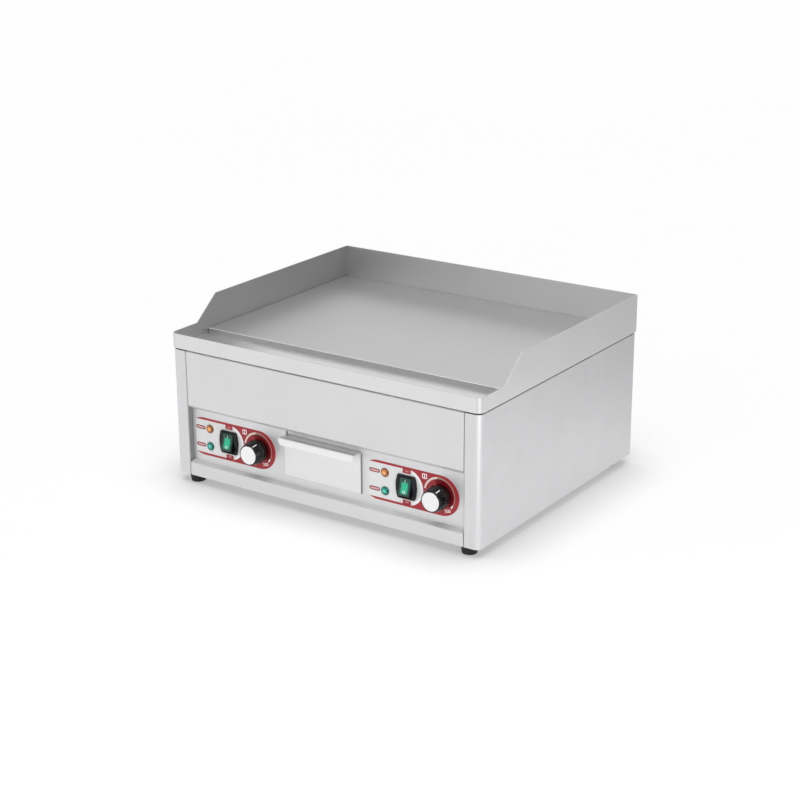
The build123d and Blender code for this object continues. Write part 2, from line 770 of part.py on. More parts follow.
def thermostat_bulb(name):
    """Sensing bulb under the plate and its capillary down to the thermostat."""
    bulb_x, bulb_start = zone_side[name] * zone_middle, element_front + bulb_setback
    bulb = rod(bulb_radius, (bulb_x, bulb_start, bulb_axis_height), bulb_length, (0, 1, 0))
    body_top = control_height + thermostat_height / 2
    behind = strip_back + thermostat_depth / 2
    over = body_top + capillary_rise
    capillary = tube_route(
        ((bulb_x, bulb_start + bulb_radius, bulb_axis_height), (bulb_x, element_front, bulb_axis_height),
         (bulb_x, element_front, over), (knob_axes[name], behind, over), (knob_axes[name], behind, body_top)),
        capillary_bend, capillary_radius)
    return bulb + capillary


def switch_housing(axis):
    """Bezel with a well for the rocker, a hollow body and its connection blades."""
    x = axis - switch_offset
    bezel = Pos(0, strip_face - overlay_film, 0) * extrude(Plane.XZ * bezel_outline(), amount=bezel_thickness)
    rim_edges = bezel.edges().group_by(Axis.Y)[0]
    bezel = fillet(rim_edges, edge_round)
    well_x, well_z = rocker_half_width + rocker_gap, rocker_well_half
    rear = strip_face + switch_depth
    body = block(
        (-well_x - switch_side_wall, well_x + switch_side_wall), (strip_face - overlay_film - seam, rear),
        (-well_z - switch_wall, well_z + switch_wall))
    well = block((-well_x, well_x), (0, rear - sheet), (-well_z, well_z))
    housing = bezel + body - well
    for side in (-1, 1):
        hole_start = (0, pivot_plane, 0)
        housing -= rod(pivot_radius + pivot_fit, hole_start, well_x + pivot_length + rocker_gap, (side, 0, 0))
    for place in (-1, 1):
        blade = block(
            (-blade_width / 2, blade_width / 2), (rear - seam, rear + blade_length),
            (-blade_thickness / 2, blade_thickness / 2))
        housing += Pos(0, 0, place * well_z / 2) * blade
    return Pos(x, 0, control_height) * housing


def rocker(axis):
    """Rocker with a dished face and round ends, pressed at the top, on two short pivot pins."""
    corner = radians(rocker_corner_angle)
    tail = radians(rocker_tail_angle)
    middle = (corner + tail) / 2

    def on_end(angle, side):
        return (-rocker_radius * cos(angle), side * rocker_radius * sin(angle))

    front = -rocker_radius * cos(corner)
    outline = [
        Polyline(on_end(corner, -1), (front + rocker_dish, 0), on_end(corner, 1)),
        ThreePointArc(on_end(corner, 1), on_end(middle, 1), on_end(tail, 1)),
        Polyline(
            on_end(tail, 1), (rocker_tail_depth, rocker_tail_half), (rocker_tail_depth, -rocker_tail_half),
            on_end(tail, -1)),
        ThreePointArc(on_end(tail, -1), on_end(middle, -1), on_end(corner, -1))]
    body = across(make_face(outline), rocker_half_width)
    body += Rot(0, 90, 0) * Cylinder(pivot_radius, 2 * (rocker_half_width + pivot_length))
    pressed = Rot(-rocker_swing / 2, 0, 0) * body
    return Pos(axis - switch_offset, pivot_plane, control_height) * pressed


# ---------------------------------------------------------------- heating
def pass_places(name):
    return [zone_side[name] * (element_first + step * element_pitch) for step in range(element_passes)]


def heating_element(name):
    """Tubular element bent into a serpentine under one zone, with both ends turned down."""
    z = element_axis_height
    places = pass_places(name)
    turn = element_pitch / 2 - element_turn_flat / 2
    points = [(places[0], element_front, z - element_end_drop), (places[0], element_front, z)]
    radii = [element_end_bend]
    for step, x in enumerate(places):
        far, near = (element_rear, element_front + element_pitch) if step % 2 == 0 else (
            element_front + element_pitch, element_rear)
        if step > 0:
            points.append((x, near, z))
            radii.append(turn)
        if step < element_passes - 1:
            points.append((x, far, z))
            radii.append(turn)
    points += [(places[-1], element_front, z), (places[-1], element_front, z - element_end_drop)]
    radii.append(element_end_bend)
    element = tube_route(points, radii, element_radius)
    for x in (places[0], places[-1]):
        start = (x, element_front, z - element_end_drop + sheet)
        element += rod(terminal_radius, start, terminal_length + sheet, (0, 0, -1))
    return element


def stud_places(name):
    """Between the first two and the last two passes of each zone."""
    places = pass_places(name)
    return [(places[0] + places[1]) / 2, (places[-1] + places[-2]) / 2]


def element_clamp(name, y):
    """Flat bar that presses the element against the plate."""
    places = sorted(pass_places(name))
    bar = block(
        (places[0] - clamp_overrun, places[-1] + clamp_overrun), (y - clamp_width / 2, y + clamp_width / 2),
        (clamp_top - clamp_thickness, clamp_top))
    for x in stud_places(name):
        bar -= rod(stud_radius + stud_gap, (x, y, clamp_top - 2 * clamp_thickness), 3 * clamp_thickness)
    return bar


def plate_studs():
    """Studs welded under the plate for the clamps."""
    return Compound(children=[
        rod(stud_radius, (x, y, tray_floor_top), stud_length, (0, 0, -1))
        for name in zone_side for x in stud_places(name) for y in (clamp_front, clamp_rear)])


def clamp_nuts():
    bottom = clamp_top - clamp_thickness - nut_height
    return Compound(children=[
        hexagon(nut_flats, (x, y, bottom), nut_height)
        - rod(stud_radius + stud_gap, (x, y, bottom - sheet), 2 * nut_height)
        for name in zone_side for x in stud_places(name) for y in (clamp_front, clamp_rear)])


def heat_shield():
    """Open tray under the elements, with holes for the element ends and the capillaries."""
    def tray(inset, low, high):
        half = shield_half - inset
        return block((-half, half), (shield_front + inset, shield_rear - inset), (low, high))

    shield = tray(0, shield_bottom, casing_height)
    shield -= tray(shield_sheet, shield_bottom + shield_sheet, casing_height + sheet)
    for name, side in zone_side.items():
        for x in (pass_places(name)[0], pass_places(name)[-1], side * zone_middle):
            shield -= rod(shield_pass_radius, (x, element_front, shield_bottom - sheet), 3 * sheet)
    return shield


def insulation_blanket():
    """Ceramic fibre mat in the heat shield."""
    edge = shield_sheet + blanket_gap
    low = shield_bottom + shield_sheet
    half = shield_half - edge
    return block((-half, half), (blanket_front, shield_rear - edge), (low, low + blanket_thickness))


# ---------------------------------------------------------------- mains side
def cable_gland():
    """Plastic gland through the back panel: hexagon, domed nut and threaded shank, bored for the cable."""
    start = (gland_side, back_face, gland_height)
    body = hexagon(gland_hex_flats, start, gland_hex_height, (0, 1, 0))
    dome_start = (gland_side, back_face + gland_hex_height, gland_height)
    dome = rod(gland_dome_radius, dome_start, gland_dome_height, (0, 1, 0))
    dome = fillet(dome.edges().group_by(Axis.Y)[-1], gland_dome_radius - gland_cable_radius - edge_round)
    shank = rod(gland_thread_radius, start, gland_thread_length + sheet, (0, -1, 0))
    bore_start = (gland_side, back_face - gland_thread_length - 2 * sheet, gland_height)
    bore_length = 2 * (gland_end - back_face) + sheet
    return body + dome + shank - rod(gland_cable_radius, bore_start, bore_length, (0, 1, 0))


def gland_locknut():
    start = (gland_side, back_face - sheet, gland_height)
    nut = hexagon(gland_hex_flats, start, gland_nut_height, (0, -1, 0))
    return nut - rod(gland_thread_radius + shaft_fit, start, gland_nut_height, (0, -1, 0))


def terminal_block():
    """Ceramic block on the base pan with a row of open wells."""
    middle_y = casing_back - block_back
    body = Pos(gland_side, middle_y, sheet + block_height / 2) * Box(block_length, block_width, block_height)
    for step in range(block_wells):
        x = gland_side + (step - (block_wells - 1) / 2) * block_length / block_wells
        for side in (-1, 1):
            y = middle_y + side * block_width / 4
            body -= rod(block_well / 2, (x, y, sheet + block_height / 2), block_height)
    return body


def bonding_stud():
    """Stud for the site's bonding lead, with a nut on each side of the back panel."""
    stud = rod(
        bond_radius, (bond_side, back_face - sheet - bond_inside, bond_height),
        bond_inside + sheet + bond_length, (0, 1, 0))
    outer_nut = hexagon(nut_flats, (bond_side, back_face, bond_height), nut_height, (0, 1, 0))
    inner_nut = hexagon(nut_flats, (bond_side, back_face - sheet, bond_height), nut_height, (0, -1, 0))
    return stud + outer_nut + inner_nut


# ---------------------------------------------------------------- assembly
def build():
    """Every node's solids in the casing's frame."""
    single_pieces = (
        left_side_panel, right_side_panel, front_panel, back_panel, base_pan, tray_floor, splash_guard,
        griddle_plate, drain_spout, heat_shield, insulation_blanket, plate_studs, clamp_nuts, drawer_pan,
        drawer_front, drawer_handle, drawer_sleeve, sleeve_bracket, thermostat_screws, foot_screws, foot_nuts,
        back_screws, cable_gland, gland_locknut, terminal_block, bonding_stud)
    nodes = {piece.__name__: piece() for piece in single_pieces}
    for name, (x, y) in feet.items():
        nodes[f"foot_{name}"] = foot(x, y)
    for name, axis in knob_axes.items():
        nodes[f"control_overlay_{name}"] = control_overlay(axis)
        nodes[f"knob_{name}"] = knob(axis)
        nodes[f"knob_cap_{name}"] = knob_cap(axis)
        nodes[f"thermostat_shaft_{name}"] = thermostat_shaft(axis)
        nodes[f"thermostat_{name}"] = thermostat(axis)
        nodes[f"thermostat_bulb_{name}"] = thermostat_bulb(name)
        nodes[f"switch_housing_{name}"] = switch_housing(axis)
        nodes[f"rocker_{name}"] = rocker(axis)
        for colour, (x, z) in zip(("amber", "green"), lamp_places(axis)):
            nodes[f"lamp_{colour}_{name}"] = pilot_lamp(x, z)
        nodes[f"heating_element_{name}"] = heating_element(name)
        nodes[f"element_clamp_front_{name}"] = element_clamp(name, clamp_front)
        nodes[f"element_clamp_rear_{name}"] = element_clamp(name, clamp_rear)
    return nodes


front_limit = knob_face - cap_proud
place = Pos(0, -(front_limit + gland_end) / 2, foot_height)
os.makedirs("parts", exist_ok=True)
for node, shape in build().items():
    export_step(place * shape, f"parts/{node}.step")
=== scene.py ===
"""Finishes, printed control panels, small fittings and studio of a two-zone countertop griddle.

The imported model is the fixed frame. Every place is worked out from its nodes and joints, in metres,
with X to the griddle's right, Y to its back and Z up. Sizes of new pieces are millimetres times MM.
"""
import json
import logging
from dataclasses import dataclass
from enum import Enum
from math import atan2, cos, degrees, hypot, pi, radians, sin
from typing import Any, Iterable, Optional, Union

import bpy
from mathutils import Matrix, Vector


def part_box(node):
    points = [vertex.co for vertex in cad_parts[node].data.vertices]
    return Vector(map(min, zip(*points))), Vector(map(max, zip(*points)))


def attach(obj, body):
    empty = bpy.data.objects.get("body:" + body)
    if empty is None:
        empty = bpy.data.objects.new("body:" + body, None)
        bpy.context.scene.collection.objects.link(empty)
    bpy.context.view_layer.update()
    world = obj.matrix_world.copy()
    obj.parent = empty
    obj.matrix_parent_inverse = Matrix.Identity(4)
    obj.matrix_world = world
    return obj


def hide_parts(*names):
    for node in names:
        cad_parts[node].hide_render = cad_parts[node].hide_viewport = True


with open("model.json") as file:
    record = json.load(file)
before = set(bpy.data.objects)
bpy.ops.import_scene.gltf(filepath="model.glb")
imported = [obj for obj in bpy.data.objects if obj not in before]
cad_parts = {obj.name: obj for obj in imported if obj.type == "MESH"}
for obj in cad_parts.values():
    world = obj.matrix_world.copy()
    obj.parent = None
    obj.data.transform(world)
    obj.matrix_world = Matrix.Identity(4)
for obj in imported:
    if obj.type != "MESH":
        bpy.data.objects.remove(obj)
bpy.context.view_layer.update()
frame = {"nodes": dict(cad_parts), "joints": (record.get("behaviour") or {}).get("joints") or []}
MM = 0.001
LOG = logging.getLogger("griddle")

ACROSS = Vector((1.0, 0.0, 0.0))
FORWARD = Vector((0.0, -1.0, 0.0))
UP = Vector((0.0, 0.0, 1.0))
Point = tuple[float, float]
Colour = tuple[float, float, float]
Material, Object, Socket = bpy.types.Material, bpy.types.Object, bpy.types.NodeSocket
Amount = Union[float, Socket]
Tint = Union[Colour, Socket]

# Noise patterns: spots per metre, octaves of finer noise and, where it matters, their weight.
# Brush lines have only the last two, because each finish says how many there are per metre.
BRUSHING = (4.0, 0.65)
CLOUDS = (9.0, 2.0)
SCUFFS = (55.0, 5.0, 0.6)
HEAT_PATCHES = (3.5, 1.0)
DUST = (60.0, 4.0)
DOME_SWIRL = (260.0, 2.0)
ROCKER_SWIRL = (240.0, 3.0)
FLOOR_CLOUDS = (0.6, 1.0)


# ================================================================ colours
def grey(level: float) -> Colour:
    """Give a neutral colour."""
    return (level, level, level)


def shade(colour: Colour, factor: float) -> Colour:
    """Make a colour darker or lighter."""
    return tuple(min(1.0, channel * factor) for channel in colour)


def rgba(colour: Tint) -> Union[tuple[float, ...], Socket]:
    """Give a colour its fourth number; a socket is handed back as it is."""
    return colour if isinstance(colour, Socket) else (*colour, 1.0)


WHITE, BLACK = grey(1.0), grey(0.0)


# ================================================================ node trees
class NodeSheet:
    """Node tree that is filled in one node at a time."""

    def __init__(self, tree: bpy.types.NodeTree) -> None:
        """Take up a tree."""
        self.tree = tree

    def feed(self, socket: Socket, value: Any) -> None:
        """Give an input socket a value or an output socket.

        Args:
            socket: Input socket.
            value: What it gets.
        """
        if isinstance(value, Socket):
            self.tree.links.new(value, socket)
        else:
            socket.default_value = value

    def add(self, kind: str, inputs: Optional[dict] = None, **settings: Any) -> bpy.types.Node:
        """Add one node.

        Args:
            kind: Blender's name of the node type.
            inputs: Values or output sockets for the input sockets, by socket name or number.
            settings: Values for the node's own properties.

        Returns:
            The new node.
        """
        node = self.tree.nodes.new(kind)
        for key, value in settings.items():
            setattr(node, key, value)
        for key, value in (inputs or {}).items():
            self.feed(node.inputs[key], value)
        return node

    def axes(self, where: Socket) -> dict[str, Socket]:
        """Split coordinates into their X, Y and Z."""
        node = self.add("ShaderNodeSeparateXYZ", {0: where})
        return {socket.name: socket for socket in node.outputs}

    def noise(self, where: Socket, scale: float, detail: float = 3.0,
              roughness: float = 0.55) -> Socket:
        """Draw cloudy noise from 0 to 1 on coordinates, with a number of spots per metre."""
        return self.add("ShaderNodeTexNoise", {"Vector": where, "Scale": scale, "Detail": detail,
                                               "Roughness": roughness}).outputs[0]

    def remap(self, value: Socket, low: float, high: float, start: float = 0.3,
              end: float = 0.7, **settings: Any) -> Socket:
        """Spread a value over a new range.

        Args:
            value: Value to spread.
            low: Result at and below the start.
            high: Result at and above the end.
            start: Value that gives the low result.
            end: Value that gives the high result.
            settings: Values for the node's own properties.

        Returns:
            The value socket.
        """
        node = self.add("ShaderNodeMapRange", {"Value": value, "From Min": start, "From Max": end,
                                               "To Min": low, "To Max": high}, **settings)
        return node.outputs[0]

    def maths(self, operation: str, first: Amount, second: Amount = 0.0) -> Socket:
        """Work out one sum, by Blender's name of the operation."""
        return self.add("ShaderNodeMath", {0: first, 1: second}, operation=operation).outputs[0]

    def blend(self, amount: Amount, first: Tint, second: Tint, mode: str = "MIX") -> Socket:
        """Blend two colours; the amount is the second one's share."""
        return self.add("ShaderNodeMix", {0: amount, 6: rgba(first), 7: rgba(second)},
                        data_type="RGBA", blend_type=mode).outputs[2]

    def multiply(self, first: Tint, second: Tint) -> Socket:
        """Multiply two colours."""
        return self.blend(1.0, first, second, "MULTIPLY")

    def mottle(self, pattern: Socket, tone: Colour, spread: float) -> Socket:
        """Make a colour uneven by a pattern, with a lightness difference to either side."""
        return self.blend(self.remap(pattern, 0.0, 1.0), shade(tone, 1 - spread),
                          shade(tone, 1 + spread))

    def ramp(self, value: Socket, stops: Iterable[tuple[float, Colour]]) -> Socket:
        """Turn a value into a colour.

        Args:
            value: Value from 0 to 1.
            stops: Places and colours, in rising order.

        Returns:
            The colour socket.
        """
        node = self.add("ShaderNodeValToRGB", {0: value})
        bar = node.color_ramp.elements
        stops = list(stops)
        while len(bar) < len(stops):
            bar.new(0.5)
        for element, (place, colour) in zip(bar, stops):
            element.position = place
            element.color = rgba(colour)
        return node.outputs[0]


class MaterialSheet(NodeSheet):
    """Node tree of one material, with its shader."""

    def __init__(self, name: str) -> None:
        """Start a material that holds a shader and its output.

        Args:
            name: Name of the new material.
        """
        self.material = bpy.data.materials.new(name)
        self.material.use_nodes = True
        super().__init__(self.material.node_tree)
        self.tree.nodes.clear()
        self.shader = self.add("ShaderNodeBsdfPrincipled")
        self.add("ShaderNodeOutputMaterial", {"Surface": self.shader.outputs["BSDF"]})

    def wire(self, **sockets: Any) -> None:
        """Give the shader's sockets values or output sockets, with _ for a space in a name."""
        for name, value in sockets.items():
            self.feed(self.shader.inputs[name.replace("_", " ")], value)

    def place(self, stretch: Vector = Vector((1.0, 1.0, 1.0)),
              centre: Vector = Vector()) -> Socket:
        """Give the object's own coordinates, centred and stretched.

        Args:
            stretch: Factor along each axis; a small factor draws a pattern out along that axis.
            centre: Point that becomes the pattern's origin.

        Returns:
            The vector socket of the placed coordinates.
        """
        source = self.add("ShaderNodeTexCoord").outputs["Object"]
        shift = self.add("ShaderNodeMapping", {"Vector": source, "Location": centre},
                         vector_type="TEXTURE").outputs[0]
        return self.add("ShaderNodeMapping", {"Vector": shift, "Scale": stretch}).outputs[0]

    def relief(self, height: Socket, depth: float, strength: float = 1.0) -> None:
        """Raise and lower the shading by a pattern.

        Args:
            height: Pattern from 0 to 1.
            depth: Height of the relief, in metres.
            strength: Share of the relief that shows.
        """
        bump = self.add("ShaderNodeBump", {"Height": height, "Distance": depth,
                                           "Strength": strength})
        self.wire(Normal=bump.outputs[0])


# ================================================================ finishes
class Grain(Enum):
    """Direction that a sheet was brushed in, as the stretch of its pattern along X, Y and Z."""

    ACROSS = Vector((0.02, 1.0, 1.0))
    DEEP = Vector((1.0, 0.02, 1.0))
    UPRIGHT = Vector((1.0, 1.0, 0.02))
    NONE = Vector((1.0, 1.0, 1.0))


@dataclass(frozen=True)
class Finish:
    """What a surface is made of.

    Attributes:
        name: Name of the material.
        tone: Its main colour.
    """

    name: str
    tone: Colour


@dataclass(frozen=True)
class SteelFinish(Finish):
    """Brushed or ground steel.

    Attributes:
        roughness: Mean roughness.
        grain: Direction of the brushing.
        lines: Brush lines per metre across the grain.
        depth: Depth of the brush lines, in metres.
        spread: Lightness difference between brush lines.
        cloud: Lightness difference between large soft patches.
        wear: Unevenness of the roughness, 1 for handled sheet.
    """

    roughness: float = 0.34
    grain: Grain = Grain.ACROSS
    lines: float = 900.0
    depth: float = 0.00003
    spread: float = 0.015
    cloud: float = 0.03
    wear: float = 1.0

    def build(self) -> Material:
        """Build the node material.

        Returns:
            The material.
        """
        sheet = MaterialSheet(self.name)
        brush = sheet.noise(sheet.place(self.grain.value), self.lines, *BRUSHING)
        cloud = sheet.noise(sheet.place(), *CLOUDS)
        scuffs = sheet.noise(sheet.place(Vector((1.0, 1.0, 0.45))), *SCUFFS)
        lined = sheet.mottle(brush, self.tone, self.spread)
        patched = sheet.blend(sheet.remap(cloud, 0.0, 1.0), grey(1 - self.cloud), WHITE)
        worn = sheet.maths("ADD", sheet.remap(brush, -0.05 * self.wear, 0.05 * self.wear),
                           sheet.remap(scuffs, -0.03 * self.wear, 0.04 * self.wear))
        dull = sheet.maths("ADD", worn, self.roughness)
        sheet.wire(Base_Color=self.tint(sheet, sheet.multiply(lined, patched)),
                   Roughness=self.polish(sheet, dull), Metallic=1.0)
        scratched = sheet.remap(scuffs, 0.0, 0.15, 0.55, 0.7)
        sheet.relief(sheet.maths("ADD", brush, scratched), self.depth)
        return sheet.material

    def tint(self, sheet: MaterialSheet, colour: Socket) -> Socket:
        """Give the colour socket after the finish's own colouring or painted shade, here none."""
        return colour

    def polish(self, sheet: MaterialSheet, roughness: Socket) -> Socket:
        """Give the roughness socket after the finish's own polish, here none."""
        return roughness


@dataclass(frozen=True)
class RecessedFinish(SteelFinish):
    """Brushed steel of the front panel, satin on the folds above and below the control strip.

    Attributes:
        satin: Roughness added on those folds.
    """

    satin: float = 0.45

    def polish(self, sheet: MaterialSheet, roughness: Socket) -> Socket:
        """Roughen the folds between the panel's face and its recessed strip.

        Args:
            sheet: Node tree of the material.
            roughness: Roughness of the brushed steel.

        Returns:
            The new roughness socket.
        """
        face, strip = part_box("front_panel")[0].y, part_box("control_overlay_left")[1].y
        deep = sheet.axes(sheet.place())["Y"]
        fold = sheet.maths("MULTIPLY", sheet.maths("GREATER_THAN", deep, face + MM),
                           sheet.maths("LESS_THAN", deep, strip - MM))
        return sheet.maths("ADD", roughness, sheet.maths("MULTIPLY", fold, self.satin))


@dataclass(frozen=True)
class PostFinish(SteelFinish):
    """Brushed steel of a side panel, with painted shade on the edge returned beside the front panel.

    Attributes:
        returned: Lightness of the painted shade on the returned edge, against the outer faces.
        fade: Where that edge ends, in metres outside the front panel.
    """

    returned: float = 0.50
    fade: Point = (0.6 * MM, 2.4 * MM)

    def tint(self, sheet: MaterialSheet, colour: Socket) -> Socket:
        """Paint shade on the returned edge.

        Args:
            sheet: Node tree of the material.
            colour: Colour of the brushed steel.

        Returns:
            The tinted colour socket.
        """
        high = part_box("front_panel")[1]
        parts = sheet.axes(sheet.place())
        inner = sheet.remap(sheet.maths("ABSOLUTE", parts["X"]), 1.0, 0.0,
                            high.x + self.fade[0], high.x + self.fade[1])
        joint_shade_mask = sheet.maths("MULTIPLY", inner, sheet.maths("LESS_THAN", parts["Y"], high.y))
        return sheet.blend(joint_shade_mask, colour, sheet.multiply(colour, grey(self.returned)))


@dataclass(frozen=True)
class FoldedFinish(SteelFinish):
    """Brushed steel of one folded sheet, duller along its folds.

    Attributes:
        node: CAD node that wears it.
        axis: Axis across the folds.
        folds: Places from 0 to 1 along that axis, each with the lightness of its painted shade.
    """

    node: str = ""
    axis: str = "X"
    folds: tuple[Point, ...] = ((0.0, 1.0), (1.0, 1.0))

    def tint(self, sheet: MaterialSheet, colour: Socket) -> Socket:
        """Paint shade along the folds.

        Args:
            sheet: Node tree of the material.
            colour: Colour of the brushed steel.

        Returns:
            The tinted colour socket.
        """
        start, end = (getattr(corner, self.axis.lower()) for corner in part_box(self.node))
        share = sheet.remap(sheet.axes(sheet.place())[self.axis], 0.0, 1.0, start, end)
        stops = [(place, grey(lightness)) for place, lightness in self.folds]
        return sheet.multiply(colour, sheet.ramp(share, stops))


@dataclass(frozen=True)
class GroundPlateFinish(SteelFinish):
    """Ground cooking steel with a trace of heat tint over the elements.

    Attributes:
        warmth: Strength of the heat tint.
        draw_out: How far reflections are drawn out across the grinding lines.
        cut_edge: Lightness of the sawn edges, against the ground top.
        fade: Where the sawn edges end, in metres under the top.
    """

    warmth: float = 0.012
    draw_out: float = 0.78
    cut_edge: float = 0.62
    fade: Point = (1.2 * MM, 0.7 * MM)

    def polish(self, sheet: MaterialSheet, roughness: Socket) -> Socket:
        """Draw reflections out across the grinding lines.

        Args:
            sheet: Node tree of the material.
            roughness: Roughness of the brushed steel.

        Returns:
            The new roughness socket.
        """
        across = sheet.add("ShaderNodeCombineXYZ", {"X": 1.0}).outputs[0]
        sheet.wire(Anisotropic=self.draw_out, Tangent=across)
        return roughness

    def tint(self, sheet: MaterialSheet, colour: Socket) -> Socket:
        """Warm the colour a little in wide soft patches and darken the sawn edges.

        Args:
            sheet: Node tree of the material.
            colour: Colour of the brushed steel.

        Returns:
            The tinted colour socket.
        """
        patches = sheet.noise(sheet.place(), *HEAT_PATCHES)
        warmed = (1.0, 1.0 - self.warmth / 2, 1.0 - self.warmth)
        warm = sheet.ramp(patches, ((0.35, WHITE), (0.65, warmed)))
        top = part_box("griddle_plate")[1].z
        sawn = sheet.remap(sheet.axes(sheet.place())["Z"], self.cut_edge, 1.0,
                           top - self.fade[0], top - self.fade[1])
        return sheet.blend(sawn, BLACK, sheet.multiply(colour, warm))


@dataclass(frozen=True)
class TrayShadeFinish(SteelFinish):
    """Brushed steel of an open tray, with painted shade on the inside, deepest in the rear left
    corner.

    Attributes:
        inside: Lightness of the painted shade on the inner faces, against the outer ones.
        corner: Further lightness of the painted shade in the rear left corner.
        wall_middle: Depth of the middle of a wall under its outer face, in metres.
    """

    inside: float = 0.81
    corner: float = 0.78
    wall_middle: float = 0.6 * MM

    def tint(self, sheet: MaterialSheet, colour: Socket) -> Socket:
        """Paint shade on what lies inside the tray's walls, and more of it towards the corner.

        Args:
            sheet: Node tree of the material.
            colour: Colour of the brushed steel.

        Returns:
            The colour socket with the painted shade.
        """
        low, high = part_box("splash_guard")
        width, length = high.x - low.x, high.y - low.y
        parts = sheet.axes(sheet.place(centre=(low + high) / 2))
        within = [sheet.maths("LESS_THAN", sheet.maths("ABSOLUTE", parts[axis]),
                              reach / 2 - self.wall_middle)
                  for axis, reach in (("X", width), ("Y", length))]
        nearness = sheet.remap(sheet.maths("SUBTRACT", parts["Y"], parts["X"]), 0.0, 1.0,
                               0.0, (width + length) / 2)
        painted_shade = sheet.blend(nearness, grey(self.inside), grey(self.inside * self.corner))
        return sheet.blend(sheet.maths("MULTIPLY", *within), colour,
                           sheet.multiply(colour, painted_shade))


@dataclass(frozen=True)
class MouldedFinish(Finish):
    """Plastic, rubber, ceramic or ink: a mottled colour under a smooth or dull skin.

    Attributes:
        roughness: Mean roughness.
        mottle: Lightness difference of the fine grain.
        grain_size: Grain per metre.
        depth: Depth of the grain, in metres.
        gloss: Strength of the reflection, 0.5 for common plastic.
    """

    roughness: float = 0.25
    mottle: float = 0.12
    grain_size: float = 1500.0
    depth: float = 0.00002
    gloss: float = 0.5

    def build(self) -> Material:
        """Build the node material.

        Returns:
            The material.
        """
        sheet = MaterialSheet(self.name)
        fine = sheet.noise(sheet.place(), self.grain_size)
        wide = sheet.noise(sheet.place(), *DUST)
        speck = sheet.mottle(fine, self.tone, self.mottle)
        dusty = sheet.blend(sheet.remap(wide, 0.0, 0.012, 0.45, 0.7), speck, grey(0.5))
        rough = sheet.maths("ADD", sheet.remap(wide, -0.04, 0.05), self.roughness)
        sheet.wire(Base_Color=dusty, Roughness=rough, Specular_IOR_Level=self.gloss)
        sheet.relief(fine, self.depth)
        return sheet.material


@dataclass(frozen=True)
class LensFinish(Finish):
    """Coloured translucent dome, painted bright in the middle, with faint facets that fan out.

    Attributes:
        glint: Colour of its middle, a painted highlight and painted light of the lamp inside.
        radius: Radius of the dome, in metres.
        facets: Number of facets round the middle.
        glow: Strength of the light inside.
    """

    glint: Colour
    radius: float = 7.2 * MM
    facets: float = 5.0
    glow: float = 0.12

    def build(self, centre: Vector) -> Material:
        """Build the node material.

        Args:
            centre: Middle of the dome's tip.

        Returns:
            The material.
        """
        sheet = MaterialSheet(self.name)
        where = sheet.place(Vector((1.0, 0.25, 1.0)), centre)
        parts = sheet.axes(where)
        angle = sheet.maths("ARCTAN2", parts["Z"], parts["X"])
        fan = sheet.maths("SINE", sheet.maths("MULTIPLY", angle, self.facets))
        swirl = sheet.noise(where, *DOME_SWIRL)
        reach = sheet.add("ShaderNodeVectorMath", {0: where}, operation="LENGTH").outputs["Value"]
        depth = sheet.maths("DIVIDE", reach, self.radius)
        uneven = sheet.maths("ADD", depth, sheet.maths("MULTIPLY", fan, 0.07))
        light = sheet.maths("ADD", uneven, sheet.remap(swirl, -0.18, 0.18))
        colour = sheet.ramp(light, ((0.0, self.glint), (0.24, self.glint), (0.42, self.tone),
                                    (0.62, self.tone), (0.9, shade(self.tone, 0.2))))
        sheet.wire(Base_Color=colour, Roughness=sheet.remap(swirl, 0.12, 0.2),
                   Emission_Color=colour, Emission_Strength=self.glow)
        sheet.relief(light, 0.3 * MM, 0.5)
        return sheet.material


@dataclass(frozen=True)
class RockerLensFinish(Finish):
    """Green translucent rocker face with a bright patch where the lamp sits behind it.

    Attributes:
        lit: Colour over the lamp.
        patch: Half width and half height of the patch, in metres.
        core: Share of the patch that is lit in full.
        glow: Strength of the light inside.
    """

    lit: Colour
    patch: Point = (7.2 * MM, 10.2 * MM)
    core: float = 0.62
    glow: float = 0.10

    def build(self, centre: Vector) -> Material:
        """Build the node material.

        Args:
            centre: Middle of the face.

        Returns:
            The material.
        """
        sheet = MaterialSheet(self.name)
        where = sheet.place(centre=centre)
        parts = sheet.axes(where)
        swirl = sheet.noise(where, *ROCKER_SWIRL)
        sides, ends = (sheet.remap(sheet.maths("ABSOLUTE", parts[axis]), 1.0, 0.0,
                                   reach * self.core, reach)
                       for axis, reach in zip("XZ", self.patch))
        lit = sheet.maths("MULTIPLY", sheet.maths("MULTIPLY", sides, ends),
                          sheet.remap(swirl, 0.75, 1.0))
        colour = sheet.blend(lit, self.tone, self.lit)
        sheet.wire(Base_Color=colour, Roughness=sheet.remap(swirl, 0.16, 0.26),
                   Emission_Color=colour, Emission_Strength=self.glow)
        sheet.relief(swirl, 0.05 * MM)
        return sheet.material


# ---------------------------------------------------------------- the finishes of this griddle
SIDE_TONE = (0.715, 0.715, 0.72)
CASING_FRONT = RecessedFinish("casing_front_steel", grey(0.735), 0.46)
# The side panels have painted shade on their edges returned beside the front panel.
CASING_SIDE = PostFinish("casing_side_steel", SIDE_TONE, 0.42, Grain.UPRIGHT, spread=0.04)
CASING_REAR = SteelFinish("casing_rear_steel", SIDE_TONE, 0.42, Grain.UPRIGHT, spread=0.04)
# The tray has painted shade on its inner faces, more towards the rear left corner.
TRAY_STEEL = TrayShadeFinish("tray_steel", grey(0.76), 0.40)
TROUGH_STEEL = SteelFinish("trough_steel", grey(0.88), 0.34)
PLATE_STEEL = GroundPlateFinish("ground_plate_steel", grey(0.79), 0.42, Grain.DEEP, 1200.0,
                                0.000008, cloud=0.015, wear=0.35)
DRAWER_STEEL = SteelFinish("drawer_steel", grey(0.82), 0.44)
# Painted shade: the drawer face darker at its two side edges, the handle in bands along its folds.
DRAWER_FACE = FoldedFinish(
    "drawer_face_steel", grey(0.82), 0.44, node="drawer_front", axis="X",
    folds=((0.0, 0.4), (0.002, 0.4), (0.004, 1.0), (0.996, 1.0), (0.998, 0.4)))
